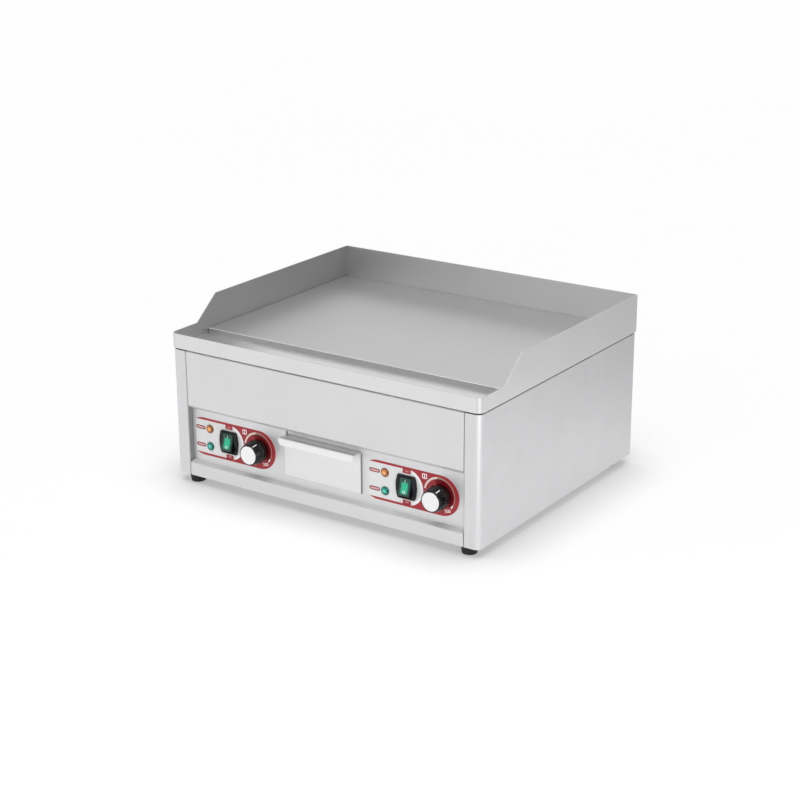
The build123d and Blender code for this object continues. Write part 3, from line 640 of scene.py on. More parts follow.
HANDLE_STEEL = FoldedFinish(
    "handle_steel", grey(0.88), 0.40, node="drawer_handle", axis="Y",
    folds=((0.03, 1.0), (0.07, 0.66), (0.26, 0.66), (0.34, 1.0), (0.72, 1.0), (0.78, 0.81)))
SHIELD_STEEL = SteelFinish("galvanised_steel", (0.55, 0.56, 0.57), 0.45, Grain.NONE, 140.0,
                           spread=0.14)
FASTENER_STEEL = SteelFinish("zinc_plated_steel", (0.58, 0.58, 0.56), 0.28, Grain.NONE, 500.0,
                             spread=0.03)
SHEATH_STEEL = SteelFinish("oxidised_sheath", (0.16, 0.17, 0.16), 0.5, Grain.NONE, 400.0,
                           spread=0.2)
COPPER = SteelFinish("drawn_copper", (0.80, 0.42, 0.28), 0.3, Grain.NONE, 300.0, spread=0.1)
CAP_METAL = SteelFinish("spun_cap_metal", grey(0.90), 0.3, Grain.NONE, 1500.0, spread=0.03)
FIBRE = MouldedFinish("ceramic_fibre", (0.80, 0.78, 0.72), 0.95, 0.2, 500.0, 0.0004)
CERAMIC = MouldedFinish("steatite", (0.78, 0.76, 0.70), 0.35, 0.05, 700.0)
THERMOSTAT_BODY = MouldedFinish("thermostat_body", (0.55, 0.52, 0.44), 0.5, 0.1, 600.0)
FILM = MouldedFinish("overlay_film", grey(0.72), 0.42, 0.02)
RED_INK = MouldedFinish("red_ink", (0.37, 0.022, 0.032), 0.38, 0.08, gloss=0.35)
MAROON_INK = MouldedFinish("maroon_ink", (0.17, 0.004, 0.010), 0.34, 0.1, gloss=0.2)
WHITE_INK = MouldedFinish("white_ink", grey(0.90), 0.40, 0.03)
PALE_INK = MouldedFinish("pale_ink", (0.80, 0.68, 0.62), 0.40, 0.06)
PINK_INK = MouldedFinish("pink_ink", (0.68, 0.36, 0.36), 0.40, 0.10, 900.0)
TAN_INK = MouldedFinish("tan_ink", (0.36, 0.25, 0.18), 0.40, 0.08)
KNOB_BLACK = MouldedFinish("knob_black", (0.004, 0.0045, 0.005), 0.09, 0.2, 900.0, 0.000005, 0.35)
SWITCH_BLACK = MouldedFinish("switch_black", (0.006, 0.007, 0.009), 0.24, 0.2, 900.0, gloss=0.25)
RUBBER = MouldedFinish("foot_rubber", grey(0.012), 0.6, 0.3, 700.0, 0.00006, 0.3)
NYLON = MouldedFinish("gland_nylon", grey(0.02), 0.42, 0.2, 800.0)
# The lenses' middles are a painted highlight and painted lamp light.
AMBER_LENS = LensFinish("amber_lens", (0.52, 0.17, 0.035), (0.95, 0.46, 0.16))
GREEN_LENS = LensFinish("green_lens", (0.008, 0.25, 0.19), (0.07, 0.62, 0.50))
ROCKER_LENS = RockerLensFinish("rocker_lens", (0.008, 0.052, 0.037), (0.012, 0.48, 0.27))
WHITE_MARK = MouldedFinish("white_mark", (0.85, 0.87, 0.86), 0.4, 0.03)


class Wardrobe:
    """Builds each finish once and hands the same material out again."""

    def __init__(self) -> None:
        """Start with nothing built."""
        self.made: dict[str, Material] = {}

    def get(self, finish: Finish) -> Material:
        """Give the finish's material, built on first use.

        Args:
            finish: Finish asked for.

        Returns:
            Its material.
        """
        if finish.name not in self.made:
            self.made[finish.name] = finish.build()
        return self.made[finish.name]

    def dress(self, obj: Object, material: Material) -> None:
        """Make one material the only one of an object.

        Args:
            obj: Object to dress.
            material: Its new material.
        """
        obj.data.materials.clear()
        obj.data.materials.append(material)
        LOG.info("%s is dressed in %s", obj.name, material.name)

    def dress_nodes(self, finish: Finish, *names: str) -> None:
        """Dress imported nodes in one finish."""
        for name in names:
            self.dress(frame["nodes"][name], self.get(finish))


# ================================================================ drawing with operators
def clear_selection() -> None:
    """Leave edit mode and select nothing."""
    if bpy.context.object and bpy.context.object.mode != "OBJECT":
        bpy.ops.object.mode_set(mode="OBJECT")
    bpy.ops.object.select_all(action="DESELECT")


def take_up(*objects: Object) -> None:
    """Select only these objects, with the first one active.

    Args:
        objects: Objects to select.
    """
    clear_selection()
    for obj in objects:
        obj.select_set(True)
    bpy.context.view_layer.objects.active = objects[0]


def settle(obj: Object) -> None:
    """Move an object's place, turn and scale into its mesh."""
    take_up(obj)
    bpy.ops.object.transform_apply(location=True, rotation=True, scale=True)


class Pen:
    """Draws an outline in edit mode, one stretch at a time, and makes a solid of it."""

    STEP = 6.0
    MERGE = 0.002 * MM

    def __init__(self, name: str, origin: Vector, start: Point, across: Vector = ACROSS,
                 up: Vector = UP) -> None:
        """Put the pen down.

        Args:
            name: Name of the new object.
            origin: Point that the outline's own coordinates start from.
            start: First point, in millimetres across and up.
            across: Direction of the first coordinate.
            up: Direction of the second coordinate.
        """
        self.origin, self.across, self.up, self.tip = origin, across, up, start
        self.normal = across.cross(up)
        clear_selection()
        bpy.ops.mesh.primitive_plane_add(size=MM, location=self.at(start))
        self.obj = bpy.context.object
        self.obj.name = self.obj.data.name = name
        settle(self.obj)
        bpy.ops.object.mode_set(mode="EDIT")
        bpy.ops.mesh.select_all(action="SELECT")
        bpy.ops.mesh.merge(type="CENTER")

    def at(self, point: Point) -> Vector:
        """Give the place of a point of the outline."""
        return self.origin + self.across * point[0] * MM + self.up * point[1] * MM

    def line(self, *points: Point) -> "Pen":
        """Draw straight lines through the points.

        Args:
            points: Points in millimetres, in order.

        Returns:
            The pen.
        """
        for point in points:
            step = self.at(point) - self.at(self.tip)
            bpy.ops.mesh.extrude_region_move(TRANSFORM_OT_translate={"value": step})
            self.tip = point
        return self

    def arc(self, centre: Point, turn: float) -> "Pen":
        """Draw an arc about a centre.

        Args:
            centre: Centre of the arc, in millimetres.
            turn: Turn in degrees, clockwise for someone who faces the outline.

        Returns:
            The pen.
        """
        steps = max(2, round(abs(turn) / self.STEP))
        bpy.ops.mesh.spin(steps=steps, angle=radians(turn), center=self.at(centre),
                          axis=self.normal)
        reach = hypot(self.tip[0] - centre[0], self.tip[1] - centre[1])
        angle = atan2(self.tip[1] - centre[1], self.tip[0] - centre[0]) - radians(turn)
        self.tip = (centre[0] + reach * cos(angle), centre[1] + reach * sin(angle))
        return self

    def plate(self, thickness: float) -> Object:
        """Close and fill the outline, and thicken it towards the viewer.

        Args:
            thickness: Thickness, in millimetres.

        Returns:
            The solid object.
        """
        bpy.ops.mesh.select_all(action="SELECT")
        bpy.ops.mesh.remove_doubles(threshold=self.MERGE)
        bpy.ops.mesh.edge_face_add()
        rise = self.normal * thickness * MM
        bpy.ops.mesh.extrude_region_move(TRANSFORM_OT_translate={"value": rise})
        return self.finished()

    def turned(self, steps: int) -> Object:
        """Turn the outline once round its second axis.

        Args:
            steps: Faces round the axis.

        Returns:
            The solid object.
        """
        bpy.ops.mesh.select_all(action="SELECT")
        bpy.ops.mesh.spin(steps=steps, angle=2 * pi, center=self.origin, axis=self.up)
        return self.finished()

    def finished(self) -> Object:
        """Merge what meets, turn the faces outwards and leave edit mode.

        Returns:
            The finished object.
        """
        bpy.ops.mesh.select_all(action="SELECT")
        bpy.ops.mesh.remove_doubles(threshold=self.MERGE)
        bpy.ops.mesh.normals_make_consistent(inside=False)
        bpy.ops.object.mode_set(mode="OBJECT")
        return self.obj


def apply_modifier(obj: Object, kind: str, **settings: Any) -> None:
    """Add a modifier and apply it.

    Args:
        obj: Object to change.
        kind: Blender's name of the modifier type.
        settings: Values for the modifier's properties.
    """
    take_up(obj)
    modifier = obj.modifiers.new(kind.lower(), kind)
    for key, value in settings.items():
        setattr(modifier, key, value)
    bpy.ops.object.modifier_apply(modifier=modifier.name)


def cut(obj: Object, *tools: Object) -> None:
    """Cut the tools' shapes out of an object, together, and throw the tools away.

    Args:
        obj: Object to change.
        tools: Objects that give the shape of the cut.
    """
    take_up(*tools)
    if len(tools) > 1:
        bpy.ops.object.join()
    apply_modifier(obj, "BOOLEAN", object=tools[0], operation="DIFFERENCE", solver="EXACT")
    bpy.data.objects.remove(tools[0])


def tip_back(obj: Object, centre: Vector, angle: float) -> None:
    """Turn a finished mesh about an axis that runs along X.

    Args:
        obj: Object to turn.
        centre: Point on the axis.
        angle: Turn in radians, by the right-hand rule.
    """
    take_up(obj)
    bpy.ops.object.mode_set(mode="EDIT")
    bpy.ops.mesh.select_all(action="SELECT")
    bpy.ops.transform.rotate(value=-angle, orient_axis="X", center_override=centre)
    bpy.ops.object.mode_set(mode="OBJECT")


def lettering(name: str, words: str, centre: Vector, height: float, depth: float,
              tilt: float = 0.0) -> Object:
    """Make raised flat characters that face forward.

    Args:
        name: Name of the new object.
        words: Characters.
        centre: Middle of the characters.
        height: Size of the type, in millimetres.
        depth: Thickness, in millimetres.
        tilt: Anticlockwise turn for someone who faces them, in degrees.

    Returns:
        The mesh object.
    """
    clear_selection()
    bpy.ops.object.text_add(location=centre, rotation=(pi / 2, -radians(tilt), 0.0))
    text = bpy.context.object
    text.name = name
    text.data.body = words
    text.data.size = height * MM
    text.data.align_x = text.data.align_y = "CENTER"
    text.data.extrude = depth * MM / 2
    text.data.offset = height * MM * 0.012
    text.data.resolution_u = 4
    bpy.ops.object.convert(target="MESH")
    settle(text)
    return text


# ================================================================ sub-assemblies
@dataclass
class SubAssembly:
    """Part of the griddle that builds its own pieces and dresses its nodes.

    Attributes:
        wardrobe: Source of the materials.
    """

    wardrobe: Wardrobe

    def build(self) -> None:
        """Build and dress everything."""
        raise NotImplementedError

    def dress(self, finish: Finish, *names: str) -> None:
        """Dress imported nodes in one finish."""
        self.wardrobe.dress_nodes(finish, *names)

    def fit(self, obj: Object, finish: Union[Finish, Material], body: str, slot: str,
            *replaced: str, smooth: float = 35.0) -> None:
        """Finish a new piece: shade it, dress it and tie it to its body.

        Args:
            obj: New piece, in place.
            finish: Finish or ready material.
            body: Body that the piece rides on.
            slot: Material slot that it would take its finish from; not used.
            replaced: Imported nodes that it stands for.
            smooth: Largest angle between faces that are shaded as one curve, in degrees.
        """
        settle(obj)
        bpy.ops.object.shade_smooth_by_angle(angle=radians(smooth))
        material = finish if isinstance(finish, Material) else self.wardrobe.get(finish)
        self.wardrobe.dress(obj, material)
        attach(obj, body)
        if replaced:
            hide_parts(*replaced)
        LOG.info("%s rides on %s", obj.name, body)


@dataclass
class Casing(SubAssembly):
    """Folded sheet casing with its base, feet and fixings."""

    def build(self) -> None:
        """Dress the casing's sheets and small parts."""
        self.dress(CASING_FRONT, "front_panel")
        self.dress(CASING_SIDE, "left_side_panel", "right_side_panel")
        self.dress(CASING_REAR, "back_panel", "base_pan")
        self.dress(FASTENER_STEEL, "back_screws", "foot_screws", "foot_nuts")
        self.dress(RUBBER, *(f"foot_{end}_{side}" for end in ("front", "rear")
                             for side in ("left", "right")))


@dataclass
class Tray(SubAssembly):
    """Tray with its guards, plate and drain."""

    def build(self) -> None:
        """Dress the tray and the plate."""
        self.dress(TRAY_STEEL, "splash_guard")
        self.dress(TROUGH_STEEL, "tray_floor", "drain_spout")
        self.dress(PLATE_STEEL, "griddle_plate")


@dataclass
class GreaseDrawer(SubAssembly):
    """Drawer, its sleeve and its bracket."""

    def build(self) -> None:
        """Dress the drawer and what it runs in."""
        self.dress(DRAWER_STEEL, "drawer_pan")
        self.dress(DRAWER_FACE, "drawer_front")
        self.dress(HANDLE_STEEL, "drawer_handle")
        self.dress(SHIELD_STEEL, "drawer_sleeve", "sleeve_bracket")


@dataclass
class Heating(SubAssembly):
    """Elements, clamps, shield and mat under the plate."""

    def build(self) -> None:
        """Dress the heating parts."""
        for side in ("left", "right"):
            self.dress(SHEATH_STEEL, f"heating_element_{side}")
            self.dress(FASTENER_STEEL, f"element_clamp_front_{side}", f"element_clamp_rear_{side}")
            self.dress(COPPER, f"thermostat_bulb_{side}")
        self.dress(FASTENER_STEEL, "plate_studs", "clamp_nuts")
        self.dress(SHIELD_STEEL, "heat_shield")
        self.dress(FIBRE, "insulation_blanket")


@dataclass
class MainsSide(SubAssembly):
    """Cable gland, terminal block and bonding stud at the back."""

    def build(self) -> None:
        """Dress the mains parts."""
        self.dress(NYLON, "cable_gland", "gland_locknut")
        self.dress(CERAMIC, "terminal_block")
        self.dress(FASTENER_STEEL, "bonding_stud", "thermostat_screws")


@dataclass
class ControlGroup(SubAssembly):
    """Printed panel, lamps, rocker switch and knob of one zone.

    Attributes:
        side: "left" or "right".
        ink: Thickness of the ink, in millimetres, as all sizes here.
        ink_gap: Gap between the film and the ink on it.
        band: Half height of the red band.
        band_inner: Half height of the pale ground inside the band.
        band_end: Left end of the band, from the knob's axis.
        shoulder: Length of the tapered end.
        window: Radius of the pale round end beside the knob.
        switch_place: Switch axis, left of the knob's axis.
        pill_place: Middle of the pills beside the lamps, left of the knob's axis.
        dial_centre: Centre of the scale, from the knob's axis.
        dial_radius: Outer radius of the scale.
        mark_place: Middle of the mark beside the scale, from the knob's axis.
        rocker_face: Corner of the rocker's face, as its distance and angle from the pivot.
        rocker_dish: Depth of the dish in that face.
        lens: Width and half height of the rocker's lens.
        lens_set: How deep the lens is let into the face, and how far it stands out.
        knob_bore: Radius of the knob's bore.
        knob_hub: Radius of the hub round the bore.
        knob_waist: Widest place of the knob, as its radius and height.
        knob_neck: Foot of the rim round the cap, as its radius and distance under the end.
        flutes: Number of hollows round the knob's grip.
        flute_radius: Radius of a hollow.
        flute_rise: Distance of a hollow's axis outside the grip.
        pointer: Width of the knob's pointer.
        pointer_angle: Place of the pointer, clockwise from the top, in degrees.
    """

    side: str
    ink: float = 0.06
    ink_gap: float = 0.01
    band: float = 32.9
    band_inner: float = 28.9
    band_end: float = 134.0
    shoulder: float = 17.0
    window: float = 30.5
    switch_place: float = 63.5
    pill_place: float = 124.0
    dial_centre: Point = (-3.5, 0.4)
    dial_radius: float = 28.6
    mark_place: Point = (-30.5, 25.0)
    rocker_face: Point = (17.2, 57.4)
    rocker_dish: float = 1.5
    lens: Point = (19.6, 13.8)
    lens_set: Point = (0.4, 0.5)
    knob_bore: float = 3.1
    knob_hub: float = 5.5
    knob_waist: Point = (20.0, 12.0)
    knob_neck: Point = (17.6, 2.4)
    flutes: int = 10
    flute_radius: float = 3.1
    flute_rise: float = 2.3
    pointer: float = 1.4
    pointer_angle: float = 29.0

    def __post_init__(self) -> None:
        """Find the knob's axis and the face of the film."""
        low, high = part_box(f"knob_{self.side}")
        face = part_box(f"control_overlay_{self.side}")[0].y
        self.axis = Vector(((low.x + high.x) / 2, face, (low.z + high.z) / 2))

    def spot(self, across: float, up: float, layer: float = 0.0) -> Vector:
        """Give a place on the film, from the knob's axis, over some layers of ink."""
        return self.axis + Vector((across, -self.ink_gap - layer * self.ink, up)) * MM

    def build(self) -> None:
        """Build and dress the whole group."""
        self.dress(FILM, f"control_overlay_{self.side}")
        self.print_band()
        self.print_window()
        self.print_pills()
        self.print_switch_tabs()
        self.print_dial()
        self.dress_lamps()
        self.build_rocker()
        self.build_knob()
        self.dress(SWITCH_BLACK, f"switch_housing_{self.side}", f"rocker_{self.side}")
        self.dress(CAP_METAL, f"knob_cap_{self.side}")
        self.dress(THERMOSTAT_BODY, f"thermostat_{self.side}")
        self.dress(FASTENER_STEEL, f"thermostat_shaft_{self.side}")

    def add_ink(self, obj: Object, finish: Finish) -> None:
        """Finish a printed piece."""
        self.fit(obj, finish, "casing", "overlay_film")

    def rounded(self, name: str, place: Point, size: Point, corner: float, layer: int) -> Object:
        """Make a flat rectangle with round corners.

        Args:
            name: Name of the new piece.
            place: Middle, from the knob's axis.
            size: Width and height.
            corner: Corner radius.
            layer: Layers of ink under it.

        Returns:
            The piece.
        """
        half, rise = size[0] / 2, size[1] / 2
        side, level = half - corner, rise - corner
        pen = Pen(name, self.spot(*place, layer), (-side, rise))
        pen.line((side, rise)).arc((side, level), 90)
        pen.line((half, -level)).arc((side, -level), 90)
        pen.line((-side, -rise)).arc((-side, -level), 90)
        pen.line((-half, level)).arc((-side, level), 90)
        return pen.plate(self.ink)

    def crescent(self, name: str, outer: tuple[Point, float], inner: tuple[Point, float],
                 start: float, end: float, layer: int) -> Object:
        """Make a curved bar between two circles.

        Args:
            name: Name of the new piece.
            outer: Centre, from the knob's axis, and radius of the outer circle.
            inner: Centre and radius of the inner circle.
            start: Angle at which the bar starts, in degrees from the right.
            end: Smaller angle at which it ends.
            layer: Layers of ink under it.

        Returns:
            The piece.
        """
        def on(circle: tuple[Point, float], angle: float) -> Point:
            """Give a point of a circle."""
            (across, up), radius = circle
            return (across + radius * cos(radians(angle)), up + radius * sin(radians(angle)))

        first = on(outer, start)
        pen = Pen(name, self.spot(0, 0, layer), first)
        pen.arc(outer[0], start - end).line(on(inner, end))
        pen.arc(inner[0], end - start).line(first)
        return pen.plate(self.ink)

    def print_band(self) -> None:
        """Print the red band that opens out round the knob."""
        pen = Pen(f"red_band_{self.side}", self.spot(0, 0), (-self.band_end, self.band_inner))
        rise = self.band - self.band_inner
        radius = (self.shoulder ** 2 + rise ** 2) / (2 * rise)
        sweep = degrees(atan2(self.shoulder, radius - rise))
        bend = self.shoulder - self.band_end
        pen.arc((bend, self.band - radius), sweep)
        pen.line((0, self.band)).arc((0, 0), 180).line((bend, -self.band))
        pen.arc((bend, radius - self.band), sweep)
        lean = degrees(atan2(self.band_inner, (self.window ** 2 - self.band_inner ** 2) ** 0.5))
        pen.line((-self.switch_place + self.window * cos(radians(lean)), -self.band_inner))
        pen.arc((-self.switch_place, 0), -2 * lean).line((-self.band_end, self.band_inner))
        self.add_ink(pen.plate(self.ink), RED_INK)

    def print_window(self) -> None:
        """Print the white edge of the pale round end beside the knob."""
        centre, sweep = (-self.switch_place, 0.0), 66.0
        edge = self.crescent(f"window_edge_{self.side}", (centre, self.window - 0.1),
                             (centre, self.window - 4.2), sweep, -sweep, 1)
        self.add_ink(edge, WHITE_INK)

    def print_pills(self) -> None:
        """Print the two blank pills beside the lamps."""
        for name, height in (("upper", 15.0), ("lower", -15.5)):
            for part, size, finish, layer in (("pill", (20.0, 6.4), MAROON_INK, 0),
                                              ("pill_centre", (16.6, 3.2), PINK_INK, 1)):
                bar = self.rounded(f"{name}_{part}_{self.side}", (-self.pill_place, height), size,
                                   size[1] / 2, layer)
                self.add_ink(bar, finish)

    def print_switch_tabs(self) -> None:
        """Print ON above the switch and OFF below it."""
        for word, height in (("ON", 25.6), ("OFF", -25.9)):
            tab = self.rounded(f"{word.lower()}_tab_{self.side}", (-self.switch_place, height),
                               (15.0, 7.0), 1.0, 0)
            self.add_ink(tab, RED_INK)
            letters = lettering(f"{word.lower()}_word_{self.side}", word,
                                self.spot(-self.switch_place, height, 1.5), 4.4, self.ink)
            self.add_ink(letters, PINK_INK)

    def print_dial(self) -> None:
        """Print the dark dial, painted knob shadow, tapered scale, mark beside it and highest number.
        """
        centre, reach = self.dial_centre, self.dial_radius
        # The maroon ground is partly dark print and partly a painted shadow of the knob.
        ground = self.crescent(f"dial_ground_and_knob_shadow_{self.side}", (centre, reach - 1.2),
                               ((0.0, 0.0), 13.0), 112.0, -44.0, 1)
        self.add_ink(ground, MAROON_INK)
        shifted = (centre[0] + 0.69, centre[1] - 0.58)
        cold, warm, hot, end = 168.0, 98.0, -28.0, -40.0
        for name, inner, start, stop, finish in (
                ("cool", (centre, reach - 3.2), cold, warm, PALE_INK),
                ("hot", (shifted, reach - 2.3), warm, hot, TAN_INK),
                ("end", (centre, reach - 2.4), hot, end, WHITE_INK)):
            bar = self.crescent(f"{name}_scale_{self.side}", (centre, reach), inner, start, stop, 2)
            self.add_ink(bar, finish)
        left, up = self.mark_place
        mark = self.rounded(f"dial_mark_{self.side}", (left, up), (8.8, 8.4), 1.6, 1)
        for offset in (-1.9, 1.9):
            slot = self.rounded("mark_slot", (left + offset, up), (1.7, 5.0), 0.7, 0)
            apply_modifier(slot, "SOLIDIFY", thickness=MM, offset=0.0)
            cut(mark, slot)
        self.add_ink(mark, WHITE_INK)
        number = lettering(f"dial_number_{self.side}", "300", self.spot(11.6, -23.4, 1.5), 7.6,
                           self.ink, tilt=14.0)
        self.add_ink(number, WHITE_INK)

    def dress_lamps(self) -> None:
        """Give each lamp its lens, centred on its own axis."""
        for colour, finish in (("amber", AMBER_LENS), ("green", GREEN_LENS)):
            name = f"lamp_{colour}_{self.side}"
            low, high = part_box(name)
            tip = Vector(((low.x + high.x) / 2, low.y, (low.z + high.z) / 2))
            self.wardrobe.dress(frame["nodes"][name], finish.build(tip))

    def build_rocker(self) -> None:
        """Let a translucent lens with its marks into the rocker's dished face."""
        joint = next(joint for joint in frame["joints"]
                     if joint["name"] == f"{self.side}_rocker_tilt")
        pivot = Vector(joint["pos_m"])
        rest = -radians(joint["range_deg"][1]) / 2
        reach, corner = self.rocker_face[0], radians(self.rocker_face[1])
        face, half = reach * cos(corner), reach * sin(corner)
        (width, end), (sunk, proud) = self.lens, self.lens_set
        body, slot = f"{self.side}_rocker", "rocker_green"

        def out_of_face(up: float) -> float:
            """Give the distance of the face in front of the pivot at a height."""
            return face - self.rocker_dish * (1 - abs(up) / half)

        inner = [(up, out_of_face(up) - sunk) for up in (-end, 0.0, end)]
        outer = [(up, out_of_face(up) + proud) for up in (end, 0.0, -end)]
        pen = Pen(f"rocker_lens_{self.side}", pivot - ACROSS * width / 2 * MM, inner[0],
                  across=UP, up=FORWARD)
        lens = pen.line(*inner[1:], *outer, inner[0]).plate(width)
        apply_modifier(lens, "BEVEL", width=0.35 * MM, segments=2, limit_method="ANGLE",
                       angle_limit=radians(30.0))
        tip_back(lens, pivot, rest)
        self.fit(lens, ROCKER_LENS.build(pivot), body, slot)
        for letter, height in (("I", 8.4), ("O", -9.0)):
            place = pivot + (UP * height + FORWARD * (out_of_face(height) + proud + 0.02)) * MM
            mark = lettering(f"rocker_{letter}_{self.side}", letter, place, 6.2, 0.12)
            tip_back(mark, place, atan2(self.rocker_dish, half) * (1 if height > 0 else -1))
            tip_back(mark, pivot, rest)
            self.fit(mark, WHITE_MARK, body, slot)

    def build_knob(self) -> None:
        """Turn the knob with a waist and a rim round its cap, flute its grip and add a pointer."""
        node, body, slot = f"knob_{self.side}", f"{self.side}_knob", "knob_black"
        low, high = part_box(node)
        base = Vector((self.axis.x, high.y, self.axis.z))
        length = (high.y - low.y) / MM
        bore, hub, web, seat = self.knob_bore, self.knob_hub, length - 4.6, length - 1.3
        waist, neck = self.knob_waist, (self.knob_neck[0], length - self.knob_neck[1])
        hollow = ((hub, 0.0), (hub, web), (14.0, web), (14.9, 6.0), (15.0, 0.0))
        skirt = ((18.0, 0.0), (18.4, 0.4), (18.9, 2.5), (19.5, 5.5), (19.85, 8.8), waist)
        grip = ((19.8, 14.5), (19.3, 18.0), (18.6, 22.0), neck, (17.4, length - 1.0))
        rim = ((17.1, length - 0.4), (16.6, length), (15.5, length - 0.2), (15.4, seat))
        pen = Pen(f"turned_{node}", base, (bore, 0.0), across=ACROSS, up=FORWARD)
        knob = pen.line(*hollow, *skirt, *grip, *rim, (bore, seat), (bore, 0.0)).turned(steps=96)
        lean = atan2(waist[0] - neck[0], neck[1] - waist[1])
        middle = (waist[0] + neck[0]) / 2 + self.flute_rise, (waist[1] + neck[1]) / 2
        tools = []
        for step in range(self.flutes):
            outward = self.outward(360.0 * (step + 0.5) / self.flutes)
            along = FORWARD * cos(lean) - outward * sin(lean)
            bpy.ops.mesh.primitive_cylinder_add(
                vertices=40, radius=self.flute_radius * MM, depth=(neck[1] - waist[1]) * MM,
                location=base + (outward * middle[0] + FORWARD * middle[1]) * MM,
                rotation=along.to_track_quat("Z", "Y").to_euler())
            tools.append(bpy.context.object)
        cut(knob, *tools)
        self.fit(knob, KNOB_BLACK, body, slot, node, smooth=40.0)
        outward = self.outward(self.pointer_angle)
        side = base - outward.cross(FORWARD) * self.pointer / 2 * MM
        foot = (18.3, 18.5)
        pen = Pen(f"knob_pointer_{self.side}", side, foot, across=outward, up=FORWARD)
        pen.line((19.55, 18.5), (neck[0] + 0.3, neck[1]), (neck[0] - 1.0, neck[1]), foot)
        self.fit(pen.plate(self.pointer), WHITE_MARK, body, slot)

    @staticmethod
    def outward(angle: float) -> Vector:
        """Give the direction away from the knob's axis, at degrees clockwise from the top."""
        return Vector((sin(radians(angle)), 0.0, cos(radians(angle))))


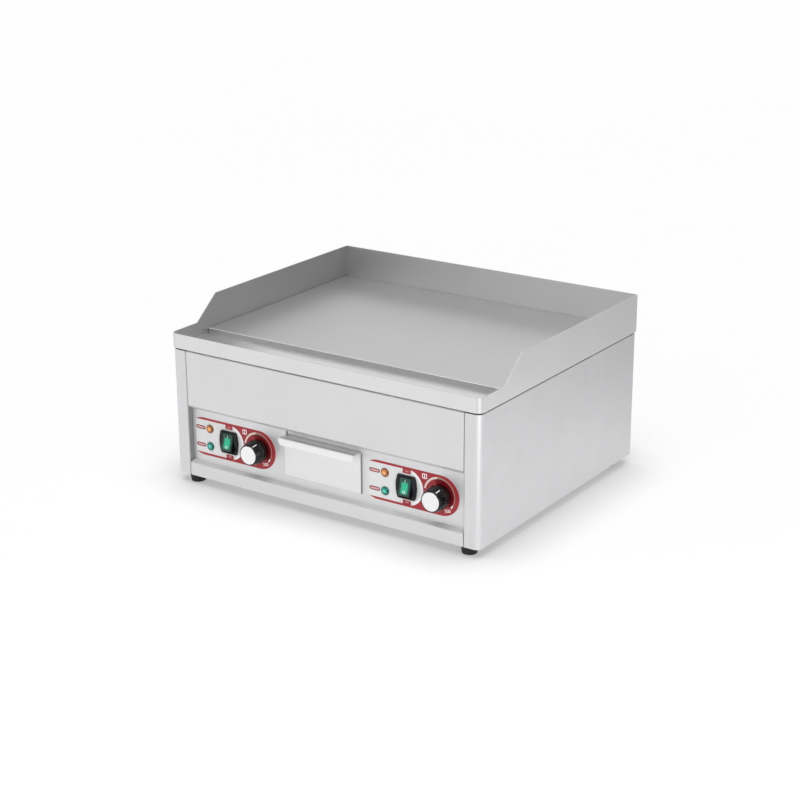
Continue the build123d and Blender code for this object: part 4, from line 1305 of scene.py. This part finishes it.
# ================================================================ studio
@dataclass
class Studio:
    """Floor, lamps, surroundings and camera.

    Attributes:
        azimuth: Camera's angle round the griddle from its front towards its right, in degrees.
        elevation: Camera's angle above the horizon.
        roll: Camera's turn about its line of sight.
        distance: Camera to target, in metres.
        lens: Focal length for a sensor 36 mm wide.
        target: Point that the camera looks at.
        floor_size: Side of the floor, in metres.
        floor_tone: Colour of the floor.
        floor_lift: Share of the floor's look that comes from the background's white instead of
            the lamps.
        contact_shadow: Painted shadow's lightness beside what stands on it, against open floor.
        contact_reach: How far that shading reaches, in metres.
        floor_white: Colour of that white.
        floor_rear: Its colour in reflections, behind the griddle.
        horizon: Colour of the surroundings near the floor, on the griddle's left.
        right_horizon: Colour of the surroundings near the floor, on its right.
        sky: Colour overhead.
    """

    azimuth: float = 34.406
    elevation: float = 19.357
    roll: float = -0.33
    distance: float = 2.6909
    lens: float = 80.5
    target: Vector = Vector((0.1631, -0.25505, 0.2345))
    floor_size: float = 60.0
    floor_tone: Colour = (0.90, 0.90, 0.905)
    floor_lift: float = 0.50
    contact_shadow: float = 0.72
    contact_reach: float = 0.11
    floor_white: Colour = (0.95, 0.95, 0.96)
    floor_rear: Colour = (0.20, 0.20, 0.205)
    horizon: Colour = (0.95, 0.95, 0.955)
    right_horizon: Colour = (0.27, 0.27, 0.275)
    sky: Colour = (0.42, 0.42, 0.425)

    def build(self) -> None:
        """Set up the whole studio."""
        bpy.context.scene.view_settings.view_transform = "Standard"
        self.add_camera()
        self.add_floor()
        self.add_surroundings()
        self.add_ceiling_light(towards=Vector((0.12, -0.14, 0.97)), width=60.0, share=0.66)
        self.add_strip_light(place=Vector((1.41, -1.13, 0.3)), target=Vector((0.3, -0.245, 0.13)),
                             size=(1.00, 0.7), radiance=3.2)

    def stand(self, name: str, data: bpy.types.ID, place: Vector, away: Vector) -> Object:
        """Put a camera or a lamp into the scene.

        Args:
            name: Name of the new object.
            data: Camera or light that it holds.
            place: Where it stands.
            away: Direction away from what it faces.

        Returns:
            The object.
        """
        obj = bpy.data.objects.new(name, data)
        bpy.context.scene.collection.objects.link(obj)
        obj.location = place
        obj.rotation_euler = away.to_track_quat("Z", "Y").to_euler()
        return obj

    def add_camera(self) -> None:
        """Place the camera and make it the scene's."""
        a, e = radians(self.azimuth), radians(self.elevation)
        away = Vector((sin(a) * cos(e), -cos(a) * cos(e), sin(e)))
        data = bpy.data.cameras.new("camera")
        data.lens, data.sensor_width = self.lens, 36.0
        camera = self.stand("camera", data, self.target + away * self.distance, away)
        camera.rotation_euler.rotate_axis("Z", radians(self.roll))
        bpy.context.scene.camera = camera

    def add_floor(self) -> None:
        """Lay a pale floor, with a painted contact shadow where the camera sees it."""
        clear_selection()
        bpy.ops.mesh.primitive_plane_add(size=self.floor_size)
        floor = bpy.context.object
        floor.name = "floor"
        sheet = MaterialSheet("floor_paint")
        cloud = sheet.noise(sheet.place(), *FLOOR_CLOUDS)
        rays = sheet.add("ShaderNodeLightPath").outputs
        seen = sheet.maths("MAXIMUM", rays["Is Camera Ray"], rays["Is Glossy Ray"])
        seen = sheet.maths("MAXIMUM", seen, rays["Is Transmission Ray"])
        lift = sheet.maths("MULTIPLY", seen, self.floor_lift)
        paint = sheet.blend(sheet.remap(cloud, 0.0, 1.0), shade(self.floor_tone, 0.99),
                            self.floor_tone)
        nearby = sheet.add("ShaderNodeAmbientOcclusion", {"Distance": self.contact_reach})
        open_floor = sheet.remap(nearby.outputs["AO"], self.contact_shadow, 1.0, 0.45, 0.95)
        shaded = sheet.blend(rays["Is Camera Ray"], WHITE, open_floor)
        rear = sheet.remap(sheet.axes(sheet.place())["Y"], 0.0, 1.0, 0.3, 0.9)
        dim = sheet.maths("MULTIPLY", rays["Is Glossy Ray"], rear)
        white = sheet.blend(dim, self.floor_white, self.floor_rear)
        sheet.wire(Base_Color=sheet.multiply(sheet.blend(lift, paint, BLACK), shaded),
                   Emission_Color=sheet.multiply(white, shaded), Emission_Strength=lift,
                   Roughness=0.9, Specular_IOR_Level=0.1)
        floor.data.materials.append(sheet.material)

    def add_surroundings(self) -> None:
        """Surround the griddle with a horizon, bright on the left, and a mid-grey sky."""
        world = bpy.data.worlds.new("surroundings")
        world.use_nodes = True
        bpy.context.scene.world = world
        sheet = NodeSheet(world.node_tree)
        parts = sheet.axes(sheet.add("ShaderNodeTexCoord").outputs["Generated"])

        def rise(axis: str, start: float, end: float) -> Socket:
            """Rise smoothly from 0 to 1 along an axis."""
            return sheet.remap(parts[axis], 0.0, 1.0, start, end, interpolation_type="SMOOTHSTEP")

        around = sheet.blend(rise("X", -0.2, 0.6), self.horizon, self.right_horizon)
        colour = sheet.blend(rise("Z", 0.3, 0.7), around, self.sky)
        sheet.feed(sheet.tree.nodes["Background"].inputs["Color"], colour)

    def add_ceiling_light(self, towards: Vector, width: float, share: float) -> None:
        """Light everything from one wide disc overhead.

        Args:
            towards: Direction from the griddle to the disc.
            width: Angle that the disc covers, in degrees.
            share: Its share of a level at which a white floor renders white.
        """
        data = bpy.data.lights.new("ceiling", "SUN")
        data.energy, data.angle = share * pi, radians(width)
        self.stand("ceiling", data, Vector(), towards)

    def add_strip_light(self, place: Vector, target: Vector, size: Point, radiance: float) -> None:
        """Stand a small upright light beside the griddle, for a highlight along its corner.

        Args:
            place: Where it stands.
            target: Point that it faces.
            size: Width and height, in metres.
            radiance: Brightness of its face.
        """
        data = bpy.data.lights.new("strip", "AREA")
        data.shape, data.size, data.size_y = "RECTANGLE", *size
        data.energy = radiance * pi * size[0] * size[1]
        self.stand("strip", data, place, place - target)


def main() -> None:
    """Build the griddle's looks and the studio."""
    logging.basicConfig(level=logging.INFO, format="%(name)s: %(message)s")
    wardrobe = Wardrobe()
    Studio().build()
    for part in (Casing(wardrobe), Tray(wardrobe), GreaseDrawer(wardrobe), Heating(wardrobe),
                 MainsSide(wardrobe), ControlGroup(wardrobe, "left"),
                 ControlGroup(wardrobe, "right")):
        part.build()
        LOG.info("%s is finished", type(part).__name__)


if __name__ == "__main__":
    main()
